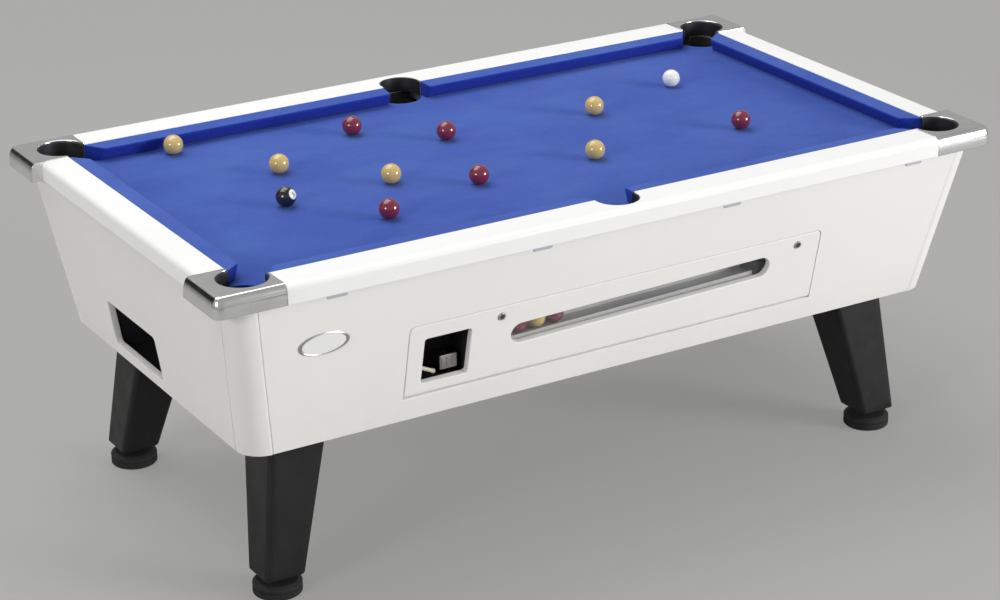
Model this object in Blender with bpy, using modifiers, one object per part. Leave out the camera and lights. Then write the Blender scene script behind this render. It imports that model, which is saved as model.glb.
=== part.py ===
"""Coin-operated pool table, modelled piece by piece.

Metres, +Z up. The floor is z = 0 and the origin lies below the middle of the bed. The long side with the
coin recess faces -Y, and the end with the ball-return box faces -X.
"""
import math

import bmesh
import bpy
from mathutils import Matrix, Vector

# Gap kept between pieces that touch
GAP = 0.0003

# Rails and corner caps
TABLE_LENGTH = 2.130
TABLE_WIDTH = 1.226
RAIL_TOP = 0.855
RAIL_DEPTH = 0.048
END_RAIL_WIDTH = 0.073
SIDE_RAIL_WIDTH = 0.093
RAIL_ROUND = 0.014
CAP_ALONG_SIDE = 0.146
CAP_ALONG_END = 0.166
CAP_CORNER_RADIUS = 0.022
CAP_PROUD = 0.0015
CAP_PAST_END = 0.030

# Bed and cushions
BED_DROP = 0.041
CLOTH_THICKNESS = 0.001
SLATE_THICKNESS = 0.019
SLATE_LEDGE = 0.010
CUSHION_WIDTH = 0.046
CUSHION_FOOT = 0.022
CUSHION_TOP_DROP = 0.002
NOSE_HEIGHT = 0.033
NOSE_THICKNESS = 0.0065
CORNER_JAW = 0.038
SIDE_JAW = 0.004
JAW_CLEARANCE = 0.001

# Pockets
CORNER_POCKET_RADIUS = 0.0605
CORNER_POCKET_FROM_END = 0.082
CORNER_POCKET_FROM_SIDE = 0.095
SIDE_POCKET_RADIUS = 0.056
SIDE_POCKET_FROM_SIDE = 0.083
LINER_THICKNESS = 0.004
LINER_DROP = 0.002

# Cabinet
CABINET_DEPTH = 0.450
RAIL_OVERHANG = 0.012
END_LEAN = 0.064
SIDE_LEAN = 0.088
WALL = 0.018
POST_RADIUS = 0.065
BASE_THICKNESS = 0.015

# Legs and levelling feet
LEG_TOP_SIZE = 0.152
LEG_TOP_INSET = (0.171, 0.152)
LEG_BOTTOM_SIZE = 0.105
LEG_BOTTOM_INSET = (0.105, 0.095)
LEG_EDGE_ROUND = 0.014
FOOT_RADIUS = 0.060
FOOT_HEIGHT = 0.034
FOOT_CHAMFER = 0.006
NECK_RADIUS = 0.018
NECK_HEIGHT = 0.0185
STUD_RADIUS = 0.010
STUD_LENGTH = 0.060
STUD_CLEARANCE = 0.0006

# Door in the front panel; heights along the leaning face start at the cabinet's lower edge
DOOR_HALF_LENGTH = 0.589
DOOR_LOW = 0.0635
DOOR_HEIGHT = 0.1985
DOOR_THICKNESS = 0.0172
DOOR_GAP = 0.002
DOOR_CORNER = 0.012
DOOR_PIN_RADIUS = 0.004
DOOR_PIN_REACH = 0.008
RECESS_FROM_LEFT = 0.042
RECESS_FROM_LOW = 0.0325
RECESS_SIZE = 0.126
RECESS_CORNER = 0.008
SLOT_FROM_LEFT = 0.280
SLOT_FROM_RIGHT = 0.148
SLOT_LEVEL = 0.6005
SLOT_HEIGHT = 0.056
SLOT_TILT = math.radians(1.45)
WINDOW_MARGIN = 0.012
WINDOW_THICKNESS = 0.003
LOCK_FROM_LEFT = 0.247
LOCK_FROM_RIGHT = 0.069
LOCK_FROM_TOP = 0.0265
LOCK_RADIUS = 0.0095
LOCK_CLEARANCE = 0.0005
LOCK_PROUD = 0.003
CAM_LENGTH = 0.038
CAM_WIDTH = 0.014
CAM_THICKNESS = 0.003
CAM_STAND_OFF = 0.005

# Coin mechanism
HOUSING_SIDE_WALL = 0.011
HOUSING_BACK_WALL = 0.019
HOUSING_TOP_WALL = 0.015
HOUSING_DOOR_GAP = 0.002
KNOB_WIDTH = 0.048
KNOB_HEIGHT = 0.036
KNOB_THICKNESS = 0.009
KNOB_FROM_RIGHT = 0.013
KNOB_FROM_FLOOR = 0.012
KNOB_SETBACK = 0.006
TONGUE_WIDTH = 0.040
TONGUE_THICKNESS = 0.010
TONGUE_CLEARANCE = 0.001
COIN_TRAVEL = 0.050
TRAVEL_CLEARANCE = 0.003
ARM_SIZE = 0.010
ARM_UNDER_DECK = 0.030
GATE_THICKNESS = 0.004
GATE_LIFT = 0.006
COIN_SHAFT_WIDTH = 0.030
COIN_SHAFT_DEPTH = 0.006
CASH_ROOM_BACK = 0.005
CASH_SILL = 0.008

# Ball deck, tray and return
BALL_RADIUS = 0.0254
CUE_BALL_RADIUS = 0.0238
BOARD = 0.010
THIN_BOARD = 0.006
DECK_UNDER_SLATE = 0.1137
DECK_SIDE_GAP = 0.020
DECK_SLOPE_ALONG = 0.016
DECK_SLOPE_ACROSS = 0.012
DECK_CUT_LENGTH = 0.260
DECK_LEG_X = 0.705
DECK_LEG_END = 0.400
TRAY_FROM_HOUSING = 0.074
TRAY_FROM_DECK_END = 0.040
TRAY_FLOOR = 0.058
TRAY_WINDOW_GAP = 0.006
TRAY_LIP = 0.008
TRAY_WALL = 0.056
RUN_STEP = 0.003
RUN_SLOPE_ALONG = 0.030
RUN_SLOPE_ACROSS = 0.100
RUN_FENCE = 0.050
RUN_LEG_X = -0.605
RUN_LEG_HALF = 0.150
RETURN_NEAR = -0.068
RETURN_WIDTH = 0.280
RETURN_FROM_LOW = 0.031
RETURN_HEIGHT = 0.118
RETURN_CORNER = 0.010
RETURN_BOX_MARGIN = 0.010
RETURN_BOX_WALL = 0.004
RETURN_BOX_DEPTH = 0.150

# Balls on the bed: name, place as shares of the half length and half width between the cushions, finish, radius
BALLS = (
    ("ball_yellow_1", (-0.755, 0.916), "yellow", BALL_RADIUS),
    ("ball_yellow_2", (-0.584, 0.334), "yellow", BALL_RADIUS),
    ("ball_yellow_3", (-0.373, -0.122), "yellow", BALL_RADIUS),
    ("ball_yellow_4", (0.379, 0.253), "yellow", BALL_RADIUS),
    ("ball_yellow_5", (0.177, -0.376), "yellow", BALL_RADIUS),
    ("ball_red_1", (-0.274, 0.678), "red", BALL_RADIUS),
    ("ball_red_2", (-0.078, 0.325), "red", BALL_RADIUS),
    ("ball_red_3", (-0.184, -0.382), "red", BALL_RADIUS),
    ("ball_red_4", (-0.504, -0.574), "red", BALL_RADIUS),
    ("ball_red_5", (0.650, -0.388), "red", BALL_RADIUS),
    ("ball_black", (-0.683, -0.137), "black", BALL_RADIUS),
    ("ball_white", (0.705, 0.445), "ivory", CUE_BALL_RADIUS),
)

# Finishes: colour, roughness, metallic
FINISHES = {
    "laminate": ((0.80, 0.79, 0.77), 0.35, 0.0),
    "rail": ((0.86, 0.86, 0.85), 0.25, 0.0),
    "chrome": ((0.62, 0.63, 0.65), 0.22, 1.0),
    "cloth": ((0.09, 0.16, 0.50), 0.90, 0.0),
    "slate": ((0.16, 0.17, 0.19), 0.70, 0.0),
    "black_plastic": ((0.015, 0.015, 0.016), 0.45, 0.0),
    "leg": ((0.020, 0.019, 0.019), 0.40, 0.0),
    "plywood": ((0.55, 0.55, 0.53), 0.60, 0.0),
    "clear": ((0.85, 0.88, 0.90), 0.05, 0.0),
    "steel": ((0.55, 0.56, 0.58), 0.35, 1.0),
    "yellow": ((0.75, 0.52, 0.16), 0.12, 0.0),
    "red": ((0.40, 0.03, 0.05), 0.12, 0.0),
    "black": ((0.012, 0.012, 0.014), 0.12, 0.0),
    "ivory": ((0.86, 0.86, 0.84), 0.12, 0.0),
}

# Plan of the top
HALF_LENGTH = TABLE_LENGTH / 2
HALF_WIDTH = TABLE_WIDTH / 2
INNER_LENGTH = HALF_LENGTH - END_RAIL_WIDTH
INNER_WIDTH = HALF_WIDTH - SIDE_RAIL_WIDTH
CORNER_POCKET = (HALF_LENGTH - CORNER_POCKET_FROM_END, HALF_WIDTH - CORNER_POCKET_FROM_SIDE)
SIDE_POCKET = (0.0, HALF_WIDTH - SIDE_POCKET_FROM_SIDE)
CORNER_ARC = (math.pi - math.asin((INNER_WIDTH + JAW_CLEARANCE - CORNER_POCKET[1]) / CORNER_POCKET_RADIUS),
              -math.acos((INNER_LENGTH + JAW_CLEARANCE - CORNER_POCKET[0]) / CORNER_POCKET_RADIUS))
SIDE_ARC = (math.asin((INNER_WIDTH + JAW_CLEARANCE - SIDE_POCKET[1]) / SIDE_POCKET_RADIUS),
            math.pi - math.asin((INNER_WIDTH + JAW_CLEARANCE - SIDE_POCKET[1]) / SIDE_POCKET_RADIUS))
CAP_SEAM_X = HALF_LENGTH - CAP_ALONG_SIDE
CAP_SEAM_Y = HALF_WIDTH - CAP_ALONG_END
CAP_END = HALF_LENGTH + CAP_PAST_END
CAP_CENTRE = (CAP_END - CAP_CORNER_RADIUS, HALF_WIDTH - CAP_CORNER_RADIUS)
PLAY_LENGTH = INNER_LENGTH - GAP - CUSHION_WIDTH
PLAY_WIDTH = INNER_WIDTH - GAP - CUSHION_WIDTH

# Heights, from the rail top down
RAIL_BOTTOM = RAIL_TOP - RAIL_DEPTH
CABINET_BOTTOM = RAIL_TOP - CABINET_DEPTH
CLOTH_TOP = RAIL_TOP - BED_DROP
SLATE_TOP = CLOTH_TOP - CLOTH_THICKNESS - GAP
SLATE_BOTTOM = SLATE_TOP - SLATE_THICKNESS
CABINET_TOP = RAIL_BOTTOM - GAP
BASE_TOP = CABINET_BOTTOM + BASE_THICKNESS
RETURN_LOW = CABINET_BOTTOM + RETURN_FROM_LOW

# Plan of the cabinet at its lower edge, and how much the walls lean per metre of height
CABINET_HEIGHT = CABINET_TOP - CABINET_BOTTOM
CABINET_LENGTH = HALF_LENGTH - RAIL_OVERHANG - END_LEAN
CABINET_WIDTH = HALF_WIDTH - RAIL_OVERHANG - SIDE_LEAN
LEAN_X = END_LEAN / CABINET_HEIGHT
LEAN_Y = SIDE_LEAN / CABINET_HEIGHT
POST_X = CABINET_LENGTH - POST_RADIUS
POST_Y = CABINET_WIDTH - POST_RADIUS
LEG_TOP_CENTRE = (CABINET_LENGTH - LEG_TOP_INSET[0], CABINET_WIDTH - LEG_TOP_INSET[1])
LEG_BOTTOM_CENTRE = (CABINET_LENGTH - LEG_BOTTOM_INSET[0], CABINET_WIDTH - LEG_BOTTOM_INSET[1])
SLATE_LENGTH = CABINET_LENGTH + LEAN_X * (SLATE_BOTTOM - CABINET_BOTTOM) - WALL + SLATE_LEDGE
SLATE_WIDTH = CABINET_WIDTH + LEAN_Y * (SLATE_BOTTOM - CABINET_BOTTOM) - WALL + SLATE_LEDGE

# Frame of the leaning front face: x along the table, y up the face, z out of it
FRONT_ANGLE = math.atan(LEAN_Y)
FRONT_FACE = Matrix.Translation((0, -CABINET_WIDTH, CABINET_BOTTOM)) @ Matrix.Rotation(
    math.pi / 2 + FRONT_ANGLE, 4, "X")
DOOR_AXIS = (DOOR_LOW + DOOR_THICKNESS / 2, -DOOR_THICKNESS / 2)

# Openings and locks of the door, on the leaning face
RECESS_LEFT = -DOOR_HALF_LENGTH + RECESS_FROM_LEFT
RECESS_LOW = DOOR_LOW + RECESS_FROM_LOW
SLOT_LENGTH = 2 * DOOR_HALF_LENGTH - SLOT_FROM_LEFT - SLOT_FROM_RIGHT
SLOT_CENTRE = ((SLOT_FROM_LEFT - SLOT_FROM_RIGHT) / 2, DOOR_LOW + SLOT_LEVEL * DOOR_HEIGHT)
LOCK_HEIGHT = DOOR_LOW + DOOR_HEIGHT - LOCK_FROM_TOP
LOCK_PLACES = (("lock_left", -DOOR_HALF_LENGTH + LOCK_FROM_LEFT, -1),
               ("lock_right", DOOR_HALF_LENGTH - LOCK_FROM_RIGHT, 1))


def start():
    """Empty the scene and make one collection for the pieces and one for the tools that cut them."""
    for obj in list(bpy.data.objects):
        bpy.data.objects.remove(obj)
    pieces = bpy.data.collections.new("pool_table")
    tools = bpy.data.collections.new("cutters")
    for group in (pieces, tools):
        bpy.context.scene.collection.children.link(group)
    return pieces, tools


PIECES, TOOLS = start()


def paint(obj, finish):
    """Give a piece its own material."""
    colour, roughness, metallic = FINISHES[finish]
    material = bpy.data.materials.new(obj.name)
    material.use_nodes = True
    shader = material.node_tree.nodes["Principled BSDF"]
    shader.inputs["Base Color"].default_value = (*colour, 1.0)
    shader.inputs["Roughness"].default_value = roughness
    shader.inputs["Metallic"].default_value = metallic
    obj.data.materials.append(material)


def piece(name, mesh, finish, matrix=Matrix.Identity(4), parent=None):
    """A named piece of the table."""
    obj = bpy.data.objects.new(name, mesh)
    PIECES.objects.link(obj)
    obj.parent = parent
    obj.matrix_local = matrix
    paint(obj, finish)
    return obj


def tool(name, mesh, matrix=Matrix.Identity(4), parent=None):
    """A shape that only cuts a piece or is joined to one."""
    obj = bpy.data.objects.new(name, mesh)
    TOOLS.objects.link(obj)
    obj.parent = parent
    obj.matrix_local = matrix
    obj.hide_render = True
    obj.display_type = "WIRE"
    return obj


def pivot(name, matrix, parent=None):
    """An empty on a joint's axis, or in a face's frame."""
    empty = bpy.data.objects.new(name, None)
    PIECES.objects.link(empty)
    empty.parent = parent
    empty.matrix_local = matrix
    return empty


def combine(obj, other, operation):
    """Cut a tool out of a piece, or join it on."""
    modifier = obj.modifiers.new(other.name, "BOOLEAN")
    modifier.operation = operation
    modifier.object = other
    modifier.solver = "EXACT"


def arc(centre, radius, start_angle, end_angle, steps):
    """Points of a circular arc, both ends included; angles in radians."""
    angles = [start_angle + (end_angle - start_angle) * i / steps for i in range(steps + 1)]
    return [(centre[0] + radius * math.cos(a), centre[1] + radius * math.sin(a)) for a in angles]


def rounded_rectangle(left, right, low, high, radius, steps=4):
    """Outline of a rectangle with round corners."""
    corners = ((right, low, -1), (right, high, 0), (left, high, 1), (left, low, 2))
    points = []
    for x, y, quarter in corners:
        centre = (x - math.copysign(radius, x - (left + right) / 2), y - math.copysign(radius, y - (low + high) / 2))
        points += arc(centre, radius, quarter * math.pi / 2, (quarter + 1) * math.pi / 2, steps)
    return points


def rectangle(left, right, low, high):
    """Outline of a plain rectangle."""
    return [(left, low), (right, low), (right, high), (left, high)]


def flipped(points, sign_x, sign_y):
    """The outline carried to another quarter of the table."""
    return [(sign_x * x, sign_y * y) for x, y in points]


def plate(name, loops, low, high):
    """Mesh of a flat outline between two heights; loops after the first are holes."""
    curve = bpy.data.curves.new(name, "CURVE")
    curve.dimensions = "2D"
    curve.fill_mode = "BOTH"
    curve.extrude = (high - low) / 2
    for loop in loops:
        spline = curve.splines.new("POLY")
        spline.points.add(len(loop) - 1)
        for point, (x, y) in zip(spline.points, loop):
            point.co = (x, y, 0.0, 1.0)
        spline.use_cyclic_u = True
    holder = bpy.data.objects.new(name, curve)
    TOOLS.objects.link(holder)
    graph = bpy.context.evaluated_depsgraph_get()
    mesh = bpy.data.meshes.new_from_object(holder.evaluated_get(graph))
    bpy.data.objects.remove(holder)
    bpy.data.curves.remove(curve)
    shape = bmesh.new()
    shape.from_mesh(mesh)
    bmesh.ops.remove_doubles(shape, verts=shape.verts, dist=1e-6)
    if len(loops) == 1:
        bmesh.ops.dissolve_limit(shape, angle_limit=1e-3, verts=shape.verts, edges=shape.edges)
    bmesh.ops.translate(shape, vec=(0.0, 0.0, (low + high) / 2), verts=shape.verts)
    bmesh.ops.recalc_face_normals(shape, faces=shape.faces)
    shape.to_mesh(mesh)
    shape.free()
    return mesh


def box(name, x_range, y_range, z_range):
    """Mesh of a box between two corners."""
    shape = bmesh.new()
    bmesh.ops.create_cube(shape, size=1.0)
    low = Vector((x_range[0], y_range[0], z_range[0]))
    high = Vector((x_range[1], y_range[1], z_range[1]))
    for vert in shape.verts:
        vert.co = [a + (c + 0.5) * (b - a) for a, b, c in zip(low, high, vert.co)]
    mesh = bpy.data.meshes.new(name)
    shape.to_mesh(mesh)
    shape.free()
    return mesh


def cylinder(name, radius, low, high, segments=24):
    """Mesh of an upright cylinder on the z axis."""
    shape = bmesh.new()
    bmesh.ops.create_cone(shape, cap_ends=True, segments=segments, radius1=radius, radius2=radius,
                          depth=high - low, matrix=Matrix.Translation((0, 0, (low + high) / 2)))
    mesh = bpy.data.meshes.new(name)
    shape.to_mesh(mesh)
    shape.free()
    return mesh


def lean_out(mesh, along_x=True):
    """Carry each point outwards with its height above the cabinet's lower edge, as the walls lean."""
    for vert in mesh.vertices:
        rise = vert.co.z - CABINET_BOTTOM
        if along_x:
            vert.co.x += math.copysign(LEAN_X * rise, vert.co.x)
        vert.co.y += math.copysign(LEAN_Y * rise, vert.co.y)
    return mesh


def between(name, outline, low, high):
    """Mesh of a board of any outline whose lower and upper faces follow two functions of x and y."""
    mesh = plate(name, [outline], 0.0, 1.0)
    for vert in mesh.vertices:
        surface = high if vert.co.z > 0.5 else low
        vert.co.z = surface(vert.co.x, vert.co.y)
    return mesh


def round_edges(obj, width, segments, chosen):
    """Round the sharp edges whose two ends both pass a test."""
    shape = bmesh.new()
    shape.from_mesh(obj.data)
    weight = shape.edges.layers.float.new("bevel_weight_edge")
    for edge in shape.edges:
        sharp = edge.calc_face_angle(0.0) > math.radians(30)
        edge[weight] = float(sharp and all(chosen(vert.co) for vert in edge.verts))
    shape.to_mesh(obj.data)
    shape.free()
    modifier = obj.modifiers.new("rounded", "BEVEL")
    modifier.limit_method = "WEIGHT"
    modifier.width = width
    modifier.segments = segments


def smooth(obj):
    """Shade a round piece smooth, with its corners kept."""
    obj.data.shade_smooth()
    obj.data.set_sharp_from_angle(angle=math.radians(35))


CORNERS = (("front_left", -1, -1), ("front_right", 1, -1), ("back_left", -1, 1), ("back_right", 1, 1))
SIDES = (("front", -1), ("back", 1))
ENDS = (("left_end", -1), ("right_end", 1))
WHOLE = ((1, 1), (1, -1), (-1, -1), (-1, 1))


def pocket_reach(radius, offset):
    """Half width of a pocket's circle along a line that passes its centre at a distance."""
    return math.sqrt(radius ** 2 - offset ** 2)


def four_quarters(quarter):
    """Close an outline from the points of its first quarter, which run clockwise from +y to +x."""
    outline = []
    for i, (sign_x, sign_y) in enumerate(WHOLE):
        points = flipped(quarter, sign_x, sign_y)
        outline += points if i % 2 == 0 else points[::-1]
    return outline


def slate_outline(grow):
    """The slate's plan: a rectangle with open notches at the six pockets, grown by a margin."""
    length = SLATE_LENGTH + grow
    width = SLATE_WIDTH + grow
    side_radius = SIDE_POCKET_RADIUS + GAP - grow
    corner_radius = CORNER_POCKET_RADIUS + GAP - grow
    quarter = arc(SIDE_POCKET, side_radius, -math.pi / 2, 0.0, 6)[1:]
    quarter.append((side_radius, width))
    rounding = arc(CORNER_POCKET, corner_radius, 0.75 * math.pi, 1.75 * math.pi, 12)
    first = rounding[0]
    last = rounding[-1]
    quarter.append((first[0] + width - first[1], width))
    quarter += rounding
    quarter.append((length, last[1] + length - last[0]))
    return four_quarters(quarter)


def cloth_outline():
    """The bed cloth's plan: it reaches to the rails and is cut round at the six pockets."""
    length = INNER_LENGTH - GAP
    width = INNER_WIDTH - GAP
    side_radius = SIDE_POCKET_RADIUS + GAP
    corner_radius = CORNER_POCKET_RADIUS + GAP
    side_end = math.asin((width - SIDE_POCKET[1]) / side_radius)
    quarter = arc(SIDE_POCKET, side_radius, -math.pi / 2, side_end, 6)[1:]
    first = math.pi - math.asin((width - CORNER_POCKET[1]) / corner_radius)
    last = 2 * math.pi - math.acos((length - CORNER_POCKET[0]) / corner_radius)
    quarter += arc(CORNER_POCKET, corner_radius, first, last, 8)
    return four_quarters(quarter)


def make_bed():
    """The slate, seated on the cabinet's ledge, and the cloth stretched over it."""
    piece("slate_bed", plate("slate_bed", [slate_outline(0.0)], SLATE_BOTTOM, SLATE_TOP), "slate")
    piece("bed_cloth", plate("bed_cloth", [cloth_outline()], CLOTH_TOP - CLOTH_THICKNESS, CLOTH_TOP), "cloth")


SEAT = tool("slate_seat", plate("slate_seat", [slate_outline(GAP)], SLATE_BOTTOM - GAP, SLATE_TOP + GAP))


def on_outer_top(point, top):
    """Whether a point lies on the top of the outer edge of a rail or cap."""
    along_side = abs(abs(point.y) - HALF_WIDTH) < GAP
    along_end = abs(abs(point.x) - HALF_LENGTH) < GAP or abs(abs(point.x) - CAP_END) < GAP
    from_centre = math.hypot(abs(point.x) - CAP_CENTRE[0], abs(point.y) - CAP_CENTRE[1])
    at_corner = abs(from_centre - CAP_CORNER_RADIUS) < GAP
    return abs(point.z - top) < GAP and (along_side or along_end or at_corner)


def make_rails():
    """Four rails bolted on the slate; each long one is notched round its middle pocket."""
    seam_x = CAP_SEAM_X - GAP
    seam_y = CAP_SEAM_Y - GAP
    reach = pocket_reach(SIDE_POCKET_RADIUS, INNER_WIDTH - SIDE_POCKET[1])
    notch = [(reach, INNER_WIDTH)] + arc(SIDE_POCKET, SIDE_POCKET_RADIUS, *SIDE_ARC, 14) + [(-reach, INNER_WIDTH)]
    side = [(seam_x, INNER_WIDTH), (seam_x, HALF_WIDTH), (-seam_x, HALF_WIDTH), (-seam_x, INNER_WIDTH)]
    end = rectangle(INNER_LENGTH, HALF_LENGTH, -seam_y, seam_y)
    outlines = [("rail_" + name, flipped(side + notch[::-1], 1, sign)) for name, sign in SIDES]
    outlines += [("rail_" + name, flipped(end, sign, 1)) for name, sign in ENDS]
    for name, outline in outlines:
        rail = piece(name, plate(name, [outline], RAIL_BOTTOM, RAIL_TOP), "rail")
        round_edges(rail, RAIL_ROUND, 3, lambda point: on_outer_top(point, RAIL_TOP))
        combine(rail, SEAT, "DIFFERENCE")


def cap_outline():
    """Plan of the cap at +x, +y: the corner of the rail, past the end rail, cut round by its pocket."""
    reach_x = pocket_reach(CORNER_POCKET_RADIUS, INNER_WIDTH - CORNER_POCKET[1])
    reach_y = pocket_reach(CORNER_POCKET_RADIUS, INNER_LENGTH - CORNER_POCKET[0])
    outline = [(CAP_SEAM_X, INNER_WIDTH), (CORNER_POCKET[0] - reach_x, INNER_WIDTH)]
    outline += arc(CORNER_POCKET, CORNER_POCKET_RADIUS, *CORNER_ARC, 18)
    outline += [(INNER_LENGTH, CORNER_POCKET[1] - reach_y), (INNER_LENGTH, CAP_SEAM_Y), (CAP_END, CAP_SEAM_Y)]
    outline += arc(CAP_CENTRE, CAP_CORNER_RADIUS, 0.0, math.pi / 2, 6)
    outline.append((CAP_SEAM_X, HALF_WIDTH))
    return outline


def make_caps():
    """Metal caps that close the four corners of the rail, a little proud of it."""
    top = RAIL_TOP + CAP_PROUD
    for name, sign_x, sign_y in CORNERS:
        name = "corner_cap_" + name
        cap = piece(name, plate(name, [flipped(cap_outline(), sign_x, sign_y)], RAIL_BOTTOM, top), "chrome")
        round_edges(cap, RAIL_ROUND, 3, lambda point: on_outer_top(point, top))
        combine(cap, SEAT, "DIFFERENCE")


def liner_outline(centre, radius, angles, steps):
    """Plan of a liner: a strip bent to the pocket's circle, open towards the bed."""
    outer = arc(centre, radius - GAP, *angles, steps)
    inner = arc(centre, radius - LINER_THICKNESS, *angles, steps)
    return outer + inner[::-1]


def make_liners():
    """Black liners inside the six pockets."""
    low = SLATE_TOP + 2 * GAP
    high = RAIL_TOP - LINER_DROP
    corner = liner_outline(CORNER_POCKET, CORNER_POCKET_RADIUS, CORNER_ARC, 18)
    side = liner_outline(SIDE_POCKET, SIDE_POCKET_RADIUS, SIDE_ARC, 14)
    outlines = [(name, flipped(corner, sign_x, sign_y)) for name, sign_x, sign_y in CORNERS]
    outlines += [(name + "_middle", flipped(side, 1, sign)) for name, sign in SIDES]
    for name, outline in outlines:
        name = "pocket_liner_" + name
        smooth(piece(name, plate(name, [outline], low, high), "black_plastic"))


def cushion(name, first, last, jaw_first, jaw_last, matrix):
    """A cushion along local x from first to last, with its back on y = 0 and its nose towards -y.

    Each end is cut at a slant: the nose is shorter than the back by the jaw.
    """
    foot = CLOTH_TOP + GAP
    nose_low = CLOTH_TOP + NOSE_HEIGHT - NOSE_THICKNESS / 2
    nose_high = CLOTH_TOP + NOSE_HEIGHT + NOSE_THICKNESS / 2
    back_top = RAIL_TOP - CUSHION_TOP_DROP
    section = [(0.0, foot), (CUSHION_FOOT, foot), (CUSHION_WIDTH, nose_low), (CUSHION_WIDTH, nose_high),
               (0.0, back_top)]
    mesh = plate(name, [section], first, last)
    middle = (first + last) / 2
    for vert in mesh.vertices:
        out, height, along = vert.co
        share = out / CUSHION_WIDTH
        along += jaw_first * share if along < middle else -jaw_last * share
        vert.co = (along, -out, height)
    mesh.flip_normals()
    piece(name, mesh, "cloth", matrix)


def make_cushions():
    """Six cushions: rubber strips covered in cloth, fixed to the rails' inner faces."""
    corner_x = CORNER_POCKET[0] - pocket_reach(CORNER_POCKET_RADIUS, INNER_WIDTH - CORNER_POCKET[1])
    corner_y = CORNER_POCKET[1] - pocket_reach(CORNER_POCKET_RADIUS, INNER_LENGTH - CORNER_POCKET[0])
    far = corner_x - JAW_CLEARANCE
    near = pocket_reach(SIDE_POCKET_RADIUS, SIDE_POCKET[1] - INNER_WIDTH) + JAW_CLEARANCE
    end = corner_y - JAW_CLEARANCE
    side_back = Matrix.Translation((0, INNER_WIDTH - GAP, 0))
    half_turn = Matrix.Rotation(math.pi, 4, "Z")
    cushion("cushion_back_right", near, far, SIDE_JAW, CORNER_JAW, side_back)
    cushion("cushion_back_left", -far, -near, CORNER_JAW, SIDE_JAW, side_back)
    cushion("cushion_front_left", near, far, SIDE_JAW, CORNER_JAW, half_turn @ side_back)
    cushion("cushion_front_right", -far, -near, CORNER_JAW, SIDE_JAW, half_turn @ side_back)
    end_back = Matrix.Translation((0, INNER_LENGTH - GAP, 0))
    quarter_turn = Matrix.Rotation(math.pi / 2, 4, "Z")
    cushion("cushion_left_end", -end, end, CORNER_JAW, CORNER_JAW, quarter_turn @ end_back)
    cushion("cushion_right_end", -end, end, CORNER_JAW, CORNER_JAW, quarter_turn.inverted() @ end_back)


def make_cabinet():
    """Four leaning panels between four rounded corner posts, and the base board inside them."""
    post_inner = POST_RADIUS - WALL
    ring = arc((POST_X, POST_Y), POST_RADIUS, 0.0, math.pi / 2, 8)
    ring += arc((POST_X, POST_Y), post_inner, math.pi / 2, 0.0, 8)
    for name, sign_x, sign_y in CORNERS:
        name = "corner_post_" + name
        mesh = plate(name, [flipped(ring, sign_x, sign_y)], CABINET_BOTTOM, CABINET_TOP)
        smooth(piece(name, lean_out(mesh), "laminate"))
    side = rectangle(-POST_X + GAP, POST_X - GAP, CABINET_WIDTH - WALL, CABINET_WIDTH)
    end = rectangle(CABINET_LENGTH - WALL, CABINET_LENGTH, -POST_Y + GAP, POST_Y - GAP)
    outlines = [("panel_" + name, flipped(side, 1, sign)) for name, sign in SIDES]
    outlines += [("panel_" + name, flipped(end, sign, 1)) for name, sign in ENDS]
    panels = {}
    for name, outline in outlines:
        mesh = plate(name, [outline], CABINET_BOTTOM, CABINET_TOP)
        panels[name] = piece(name, lean_out(mesh), "laminate")
        combine(panels[name], SEAT, "DIFFERENCE")
    inner_x = CABINET_LENGTH - WALL - GAP
    inner_y = CABINET_WIDTH - WALL - GAP
    floor = rounded_rectangle(-inner_x, inner_x, -inner_y, inner_y, post_inner - GAP)
    piece("base_board", lean_out(plate("base_board", [floor], CABINET_BOTTOM, BASE_TOP)), "plywood")
    return panels


def tapered_leg(name):
    """Mesh of the leg at +x, +y: a box whose square top and bottom differ in size and place."""
    top = CABINET_BOTTOM - GAP
    bottom = FOOT_HEIGHT + NECK_HEIGHT + GAP
    mesh = box(name, (-1, 1), (-1, 1), (bottom, top))
    for vert in mesh.vertices:
        upper = vert.co.z > (top + bottom) / 2
        centre = LEG_TOP_CENTRE if upper else LEG_BOTTOM_CENTRE
        half = LEG_TOP_SIZE / 2 if upper else LEG_BOTTOM_SIZE / 2
        vert.co.x = centre[0] + half * vert.co.x
        vert.co.y = centre[1] + half * vert.co.y
    return mesh


def turned_foot(name):
    """Profile of a levelling foot, from the top of its stud down and in to the axis."""
    neck_top = FOOT_HEIGHT + NECK_HEIGHT
    stud_top = neck_top + STUD_LENGTH
    profile = [(0.0, stud_top), (STUD_RADIUS, stud_top), (STUD_RADIUS, neck_top), (NECK_RADIUS, neck_top),
               (NECK_RADIUS, FOOT_HEIGHT), (FOOT_RADIUS - 2 * FOOT_CHAMFER, FOOT_HEIGHT),
               (FOOT_RADIUS, FOOT_HEIGHT - FOOT_CHAMFER), (FOOT_RADIUS, FOOT_CHAMFER / 2),
               (FOOT_RADIUS - FOOT_CHAMFER / 2, 0.0), (0.0, 0.0)]
    mesh = bpy.data.meshes.new(name)
    edges = [(i, i + 1) for i in range(len(profile) - 1)]
    mesh.from_pydata([(r, 0.0, z) for r, z in profile], edges, [])
    return mesh


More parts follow.
